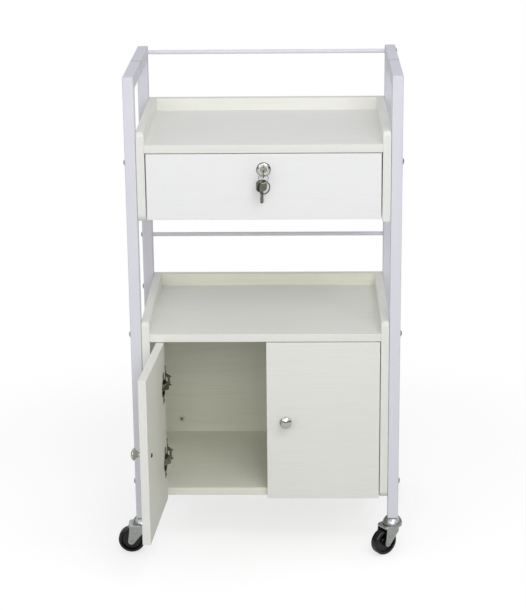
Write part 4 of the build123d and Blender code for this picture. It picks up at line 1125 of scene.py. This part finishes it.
@dataclass
class Lock(Assembly):
    """The lock's turned plate and barrel, round the core that the key turns."""

    rim: float = 12.95
    face: float = 9.45
    barrel: float = 7.95
    bore: float = 6.1
    rim_edge: float = 0.7
    slope_top: float = 2.9
    face_rise: float = 4.95
    face_edge: float = 0.5
    # Radius beyond which the plate's lip gets the painted dark reflection
    lip: float = 11.3
    stands_out: float = 5.0
    slope_start: float = 20.0
    slope_end: float = 75.0

    def build(self) -> None:
        """Make the plate and the barrel in one turned piece."""
        low, high = node_box("lock_body")
        seat = Vector(((low.x + high.x) / 2, low.y + self.stands_out * MM, (low.z + high.z) / 2))
        rear = -(high.y - seat.y) / MM
        slope = arc_points((self.face + 0.35, self.rim_edge - 0.5), self.rim - self.face - 0.35,
                           self.slope_start, self.slope_end, 8)
        profile = [(self.bore, rear), (self.barrel, rear), (self.barrel, 0.0), (self.rim, 0.0),
                   (self.rim, self.rim_edge), *slope, (self.face, self.slope_top - 0.4),
                   (self.face, self.face_rise - self.face_edge), (self.face - self.face_edge, self.face_rise),
                   (self.bore + 0.3, self.face_rise), (self.bore, self.face_rise - 0.3), (self.bore, rear)]
        work = bmesh.new()
        place = aimed(seat, Vector((0, -1, 0)))
        add_turned(work, profile, place, steps=96)
        mesh = closed_mesh("lock_plate", work)
        # Faces of the outer lip beyond the lip radius get darkened nickel, a painted dark reflection on one polished
        # plate
        inward = place.inverted()
        for face in mesh.polygons:
            centre = inward @ face.center
            if centre.z > 0 and math.hypot(centre.x, centre.y) > self.lip * MM:
                face.material_index = 1
        plate = add_object("lock_plate", mesh, [LOCK_PLATE, NICKEL_PAINTED_SHADE])
        self.stand_in(plate, body_of_node(self.frame, "lock_body"), "lock_body")


@dataclass
class KeyBunch(Assembly):
    """The key in the lock, the thin ring, the spare key and the split ring."""

    thick: float = 2.0
    bow_wide: float = 22.0
    bow_long: float = 21.0
    bow_round: float = 6.0
    hole_setback: float = 5.5
    hole_long: float = 5.4
    hole_wide: float = 7.0
    blade_wide: float = 7.0
    blade_long: float = 23.0
    teeth: tuple[float, ...] = (1.2, 2.2, 1.0, 1.8, 2.6, 1.4)
    turn: float = 32.0
    ring_radius: float = 8.85
    ring_wire: float = 0.65
    split_radius: float = 11.35
    split_wide: float = 1.8
    split_deep: float = 0.85
    split_height: float = 0.9
    split_turns: float = 2.06
    key_edge: float = 0.28
    split_edge: float = 0.12

    def build(self) -> None:
        """Make the keys and the rings."""
        low, high = node_box("lock_key")
        hole = Vector((0, low.y + self.hole_setback * MM, (low.z + high.z) / 2))
        self._key("lock_key", "lock", framed(Vector((0, 1, 0)), Vector((0, 0, 1)), Vector((1, 0, 0)), hole))
        self._spare(hole.y)
        self._ring()
        self._split_ring()

    def _face_way(self) -> Vector:
        """The way that the faces of the spare key and the split ring point."""
        angle = math.radians(self.turn)
        return Vector((-math.sin(angle), math.cos(angle), 0))

    def _outline(self) -> list[tuple[float, float]]:
        """Draw the key: a rounded bow, shoulders and a blade with cut teeth on one edge.

        Returns:
            The outline's points in millimetres.
        """
        half = self.bow_wide / 2
        back = -self.hole_setback
        front = back + self.bow_long
        blade = self.blade_wide / 2
        tip = front + self.blade_long
        low = arc_points((front - self.bow_round, -half + self.bow_round), self.bow_round, -90, 0)
        high = arc_points((front - self.bow_round, half - self.bow_round), self.bow_round, 0, 90)
        rear_high = arc_points((back + self.bow_round, half - self.bow_round), self.bow_round, 90, 180)
        rear_low = arc_points((back + self.bow_round, -half + self.bow_round), self.bow_round, 180, 270)
        notch = []
        step = (self.blade_long - 7) / len(self.teeth)
        for number, depth in enumerate(self.teeth):
            start = tip - 3 - number * step
            notch += [(start, blade - 0.2), (start - step * 0.35, blade - depth), (start - step * 0.65, blade - depth)]
        shaft = [(front, -blade), (tip - 2.4, -blade), (tip, 0.0)] + notch + [(front, blade)]
        return low + shaft + high + rear_high + rear_low

    def _key(self, node: str, body: str, place: Matrix) -> None:
        """Make one key.

        Args:
            node: The CAD node that it stands for.
            body: The body that it rides on.
            place: Its placement, with the hole's middle at the local origin.
        """
        half_long, half_wide = self.hole_long / 2, self.hole_wide / 2
        corner = self.hole_long * 0.3
        hole = []
        for sx, sy, start in ((1, 1, 0), (-1, 1, 90), (-1, -1, 180), (1, -1, 270)):
            middle = (sx * (half_long - corner), sy * (half_wide - corner))
            hole += arc_points(middle, corner, start, start + 90, 4)
        work = bmesh.new()
        add_plate(work, self._outline(), self.thick, place, [hole])
        # Each face of the blade gets a thin sheet of darkened nickel for the shade in the key's groove: painted shade,
        # not a cut
        front = self.bow_long - self.hole_setback
        painted_groove_shade = [(front + 1, -1.5), (front + self.blade_long - 5, -1.5), (front + self.blade_long - 5, -0.7),
                  (front + 1, -0.7)]
        for way in (-1, 1):
            lifted = place @ Matrix.Translation((0, 0, way * (self.thick / 2 - 0.02) * MM))
            add_plate(work, painted_groove_shade, 0.05, lifted, index=1)
        key = add_object(node + "_cut", closed_mesh(node + "_cut", work), [KEY_METAL, NICKEL_PAINTED_SHADE])
        soften(key, self.key_edge * MM)
        self.stand_in(key, body, node)

    def _spare(self, depth: float) -> None:
        """Make the spare key where its CAD node hangs.

        Args:
            depth: The depth at which the bunch hangs.
        """
        low, high = node_box("spare_key")
        hole = Vector(((low.x + high.x) / 2, depth, high.z - self.hole_setback * MM))
        normal, along = self._face_way(), Vector((0, 0, -1))
        self._key("spare_key", "spare_key", framed(along, normal.cross(along), normal, hole))

    def _ring(self) -> None:
        """Make the thin ring."""
        middle = sum(node_box("key_ring"), Vector()) / 2
        work = bmesh.new()
        tube = [(self.ring_radius + self.ring_wire * math.cos(a), self.ring_wire * math.sin(a))
                for a in (math.radians(360 * step / 14) for step in range(15))]
        add_turned(work, tube, aimed(middle, Vector((0, -1, 0))), steps=64)
        ring = add_object("thin_ring", closed_mesh("thin_ring", work), [NICKEL])
        self.stand_in(ring, "key_ring", "key_ring")

    def _split_ring(self) -> None:
        """Make the split ring as a flat coil of two turns by a geometry tree."""
        group = bpy.data.node_groups.new("split_coil", "GeometryNodeTree")
        face = group.interface
        face.new_socket("Geometry", in_out="INPUT", socket_type="NodeSocketGeometry")
        for name in ("Coil Radius", "Coil Height", "Wire Wide", "Wire Deep"):
            face.new_socket(name, in_out="INPUT", socket_type="NodeSocketFloat")
        face.new_socket("Geometry", in_out="OUTPUT", socket_type="NodeSocketGeometry")
        graph = Graph(group)
        given = graph.add("NodeGroupInput").outputs
        spiral = graph.add("GeometryNodeCurveSpiral", {
            "Resolution": 72, "Rotations": self.split_turns, "Start Radius": given["Coil Radius"],
            "End Radius": given["Coil Radius"], "Height": given["Coil Height"]})
        section = graph.add("GeometryNodeCurvePrimitiveQuadrilateral", {
            "Width": given["Wire Wide"], "Height": given["Wire Deep"]})
        swept = graph.add("GeometryNodeCurveToMesh", {
            "Curve": spiral.outputs["Curve"], "Profile Curve": section.outputs["Curve"], "Fill Caps": True})
        graph.finished(swept.outputs["Mesh"], SPRING_STEEL)
        ring = grow("split_key_ring", group, bpy.data.meshes.new("coil_seed"), {
            "Coil Radius": self.split_radius * MM, "Coil Height": self.split_height * MM,
            "Wire Wide": self.split_wide * MM, "Wire Deep": self.split_deep * MM})
        middle = sum(node_box("split_ring"), Vector()) / 2
        ring.data.transform(aimed(middle, self._face_way()) @ Matrix.Translation((0, 0, -self.split_height / 2 * MM)))
        soften(ring, self.split_edge * MM)
        self.stand_in(ring, "split_ring", "split_ring")


@dataclass
class HingeScrews(Assembly):
    """The screws that hold the hinge cups to the doors and the arms to the side panels."""

    spread: float = 24.0
    screw: Head = Head(3.6, 1.5, 1.5, 0.9, 1.6, 5.0)
    sunk: float = 0.1
    cup_half: float = 31.0
    flange_x: float = 191.5
    flange_y: float = -147.0
    hinge_x: float = 206.7
    hinge_y: float = -166.0
    door_open: float = 94.5
    arm_half: float = 19.0
    arm_rise: float = 22.0
    arm_backs: tuple[float, ...] = (12.0, 26.0)
    plate_rise: float = 3.0
    plate_back: float = 20.0
    plate_spread: float = 13.5

    def build(self) -> None:
        """Set the screws on both doors and on the arms."""
        for side in ("left", "right"):
            self._cup_screws(side)
        self._arm_screws()

    def _grow(self, name: str, body: str, seats: list[tuple[Vector, Vector]]) -> None:
        """Set cross-head screws on their seats.

        Args:
            name: The piece's name.
            body: The body that it rides on.
            seats: Place and facing pairs.
        """
        made = grow(name, HardwareTree(Drive.CROSS, False).tree(HINGE_STEEL),
                    seat_mesh(name + "_seats", seats), self.screw.inputs())
        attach(made, body)
        LOG.info("made %s on %s", name, body)

    def _cup_screws(self, side: str) -> None:
        """Set two screws in each cup's flange on one door.

        Args:
            side: The door's side.
        """
        low, high = node_box(side + "_hinge_cups")
        half = self.cup_half * MM
        heights = [z + way * self.spread * MM for z in (low.z + half, high.z - half) for way in (-1, 1)]
        if side == "right":
            place = Vector(((low.x + high.x) / 2, high.y, 0))
            facing = Vector((0, 1, 0))
        else:
            turn = math.radians(-self.door_open)
            facing = Vector((-math.sin(turn), math.cos(turn), 0))
            pivot = Vector((-self.hinge_x, self.hinge_y, 0)) * MM
            shut = Vector((-self.flange_x, self.flange_y, 0)) * MM
            place = Matrix.Rotation(turn, 3, "Z") @ (shut - pivot) + pivot
        seats = [(Vector((place.x, place.y, z)) - facing * self.sunk * MM, facing) for z in heights]
        self._grow(side + "_cup_screws", side + "_door", seats)

    def _arm_screws(self) -> None:
        """Set two screws on each arm's back and two on each mounting plate."""
        low, high = node_box("hinge_arms")
        seats: list[tuple[Vector, Vector]] = []
        for side in (-1, 1):
            facing = Vector((-side, 0, 0))
            for z in (low.z + self.arm_half * MM, high.z - self.arm_half * MM):
                for back in self.arm_backs:
                    seats.append((Vector((side * (high.x - self.arm_rise * MM), high.y - back * MM, z)), facing))
                for way in (-1, 1):
                    seats.append((Vector((side * (high.x - self.plate_rise * MM), high.y - self.plate_back * MM,
                                          z + way * self.plate_spread * MM)), facing))
        self._grow("arm_screws", "frame", seats)


@dataclass
class Studio:
    """Camera, lamps, floor and world."""

    image: tuple[int, int] = (526, 610)
    focal_pixels: float = 1840.0
    eye: Point = (73.2, -3392.0, 1525.7)
    yaw: float = -0.02374
    pitch: float = -0.30748
    roll: float = -0.01036
    ambient: float = 0.58
    sky: Colour = (0.98, 0.985, 1.05)
    band_low: float = 0.1
    band_high: float = 0.45
    band_dark: float = 0.08
    band_bright: float = 1.0
    paper: Colour = (0.5, 0.5, 0.49)
    floor_lift: float = 0.62
    floor_mirrored: float = 0.5
    fade_start: float = 0.55
    fade_end: float = 1.1
    floor_reach: float = 6.0

    def build(self) -> None:
        """Make the camera, the lamps, the floor and the world."""
        self._camera()
        self._lamps()
        self._floor()
        self._world()
        LOG.info("made the studio")

    def _camera(self) -> None:
        """Place the camera at the photograph's viewpoint."""
        data = bpy.data.cameras.new("camera")
        data.sensor_width = 36.0
        data.lens = self.focal_pixels / max(self.image) * data.sensor_width
        camera = bpy.data.objects.new("camera", data)
        ahead = Vector((math.sin(self.yaw) * math.cos(self.pitch), math.cos(self.yaw) * math.cos(self.pitch),
                        math.sin(self.pitch)))
        level = Vector((math.cos(self.yaw), -math.sin(self.yaw), 0))
        rise = level.cross(ahead)
        right = math.cos(self.roll) * level + math.sin(self.roll) * rise
        up = math.cos(self.roll) * rise - math.sin(self.roll) * level
        turn = Matrix((right, up, -ahead)).transposed().to_4x4()
        camera.matrix_world = Matrix.Translation(Vector(self.eye) * MM) @ turn
        data.clip_start = 0.1
        data.clip_end = 50.0
        bpy.context.scene.collection.objects.link(camera)
        bpy.context.scene.camera = camera
        bpy.context.scene.view_settings.view_transform = "Standard"

    def _lamp(self, name: str, place: Point, aim: Point, size: tuple[float, float], power: float) -> None:
        """Add one softbox.

        Args:
            name: The lamp's name.
            place: Its place in metres.
            aim: The point that it faces.
            size: Its width and height in metres.
            power: Its power in watts.
        """
        data = bpy.data.lights.new(name, "AREA")
        data.shape = "RECTANGLE"
        data.size, data.size_y = size
        data.energy = power
        lamp = bpy.data.objects.new(name, data)
        lamp.matrix_world = aimed(Vector(place), Vector(place) - Vector(aim))
        bpy.context.scene.collection.objects.link(lamp)

    def _lamps(self) -> None:
        """Add two large softboxes in front and one high up."""
        self._lamp("front_box", (0.05, -2.9, 1.5), (0, 0, 0.55), (2.0, 1.2), 21)
        self._lamp("high_box", (0.7, -1.9, 2.5), (0, 0, 0.5), (1.2, 0.8), 14)
        self._lamp("left_box", (-1.9, -2.5, 1.7), (0, 0, 0.6), (1.4, 1.6), 6)

    def _floor(self) -> None:
        """Lay a pale floor that keeps the shadow near the wheels and turns white farther out."""
        made = bpy.data.materials.new("floor_paper")
        made.use_nodes = True
        made.node_tree.nodes.clear()
        graph = Graph(made.node_tree)
        place = graph.add("ShaderNodeTexCoord").outputs["Object"]
        distance = graph.add("ShaderNodeVectorMath", {0: place}, operation="LENGTH").outputs["Value"]
        fade = graph.add("ShaderNodeMapRange", {
            "Value": distance, "From Min": self.fade_start, "From Max": self.fade_end, "To Min": 0.0, "To Max": 1.0,
        }, interpolation_type="SMOOTHSTEP").outputs["Result"]
        path = graph.add("ShaderNodeLightPath").outputs
        seen = path["Is Camera Ray"]
        paper = graph.add("ShaderNodeBsdfDiffuse", {"Color": (*self.paper, 1.0)}).outputs["BSDF"]
        share = graph.math("ADD", seen, graph.math("MULTIPLY", path["Is Glossy Ray"], self.floor_mirrored))
        glow = graph.glow(graph.math("MULTIPLY", share, self.floor_lift))
        lifted = graph.add("ShaderNodeAddShader", {0: paper, 1: glow}).outputs["Shader"]
        mixed = graph.add("ShaderNodeMixShader", {
            0: graph.math("MULTIPLY", fade, seen), 1: lifted, 2: graph.glow(1.0)}).outputs["Shader"]
        graph.add("ShaderNodeOutputMaterial", {"Surface": mixed})
        mesh = bpy.data.meshes.new("floor")
        reach = self.floor_reach
        mesh.from_pydata([(-reach, -reach, 0), (reach, -reach, 0), (reach, reach, 0), (-reach, reach, 0)], [],
                         [(0, 1, 2, 3)])
        mesh.materials.append(made)
        floor = bpy.data.objects.new("floor", mesh)
        bpy.context.scene.collection.objects.link(floor)

    def _world(self) -> None:
        """Light the room evenly, show it white to the camera and let metal mirror its darker walls."""
        world = bpy.data.worlds.new("room")
        bpy.context.scene.world = world
        world.use_nodes = True
        world.node_tree.nodes.clear()
        graph = Graph(world.node_tree)
        path = graph.add("ShaderNodeLightPath").outputs
        seen = graph.math("MAXIMUM", path["Is Camera Ray"], path["Is Transmission Ray"])
        height = graph.add("ShaderNodeSeparateXYZ", {
            "Vector": graph.add("ShaderNodeTexCoord").outputs["Generated"]}).outputs["Z"]
        band = graph.add("ShaderNodeMapRange", {
            "Value": height, "From Min": self.band_low, "From Max": self.band_high,
            "To Min": self.band_dark, "To Max": self.band_bright,
        }, interpolation_type="SMOOTHSTEP").outputs["Result"]
        mirrored = graph.add("ShaderNodeMix", {0: path["Is Glossy Ray"], 2: self.ambient, 3: band}).outputs[0]
        strength = graph.add("ShaderNodeMix", {0: seen, 2: mirrored, 3: 1.0}).outputs[0]
        tint = graph.add("ShaderNodeMix", {0: seen, 6: (*self.sky, 1.0), 7: (1.0, 1.0, 1.0, 1.0)}, data_type="RGBA")
        back = graph.add("ShaderNodeBackground", {"Color": tint.outputs[2], "Strength": strength})
        graph.add("ShaderNodeOutputWorld", {"Surface": back.outputs["Background"]})


def corners(box: tuple[Vector, Vector]) -> list[list[float]]:
    """Write a box as plain lists.

    Args:
        box: Its lowest and highest corners.

    Returns:
        The same corners as lists of numbers.
    """
    return [[float(level) for level in corner] for corner in box]


def main() -> None:
    """Build the trolley's looks in order."""
    logging.basicConfig(level=logging.INFO, format="%(name)s: %(message)s")
    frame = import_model()
    Studio().build()
    for assembly in (CadDressing, FrameHardware, Casters, Knobs, Lock, KeyBunch, HingeScrews):
        assembly(frame).build()


if __name__ == "__main__":
    main()
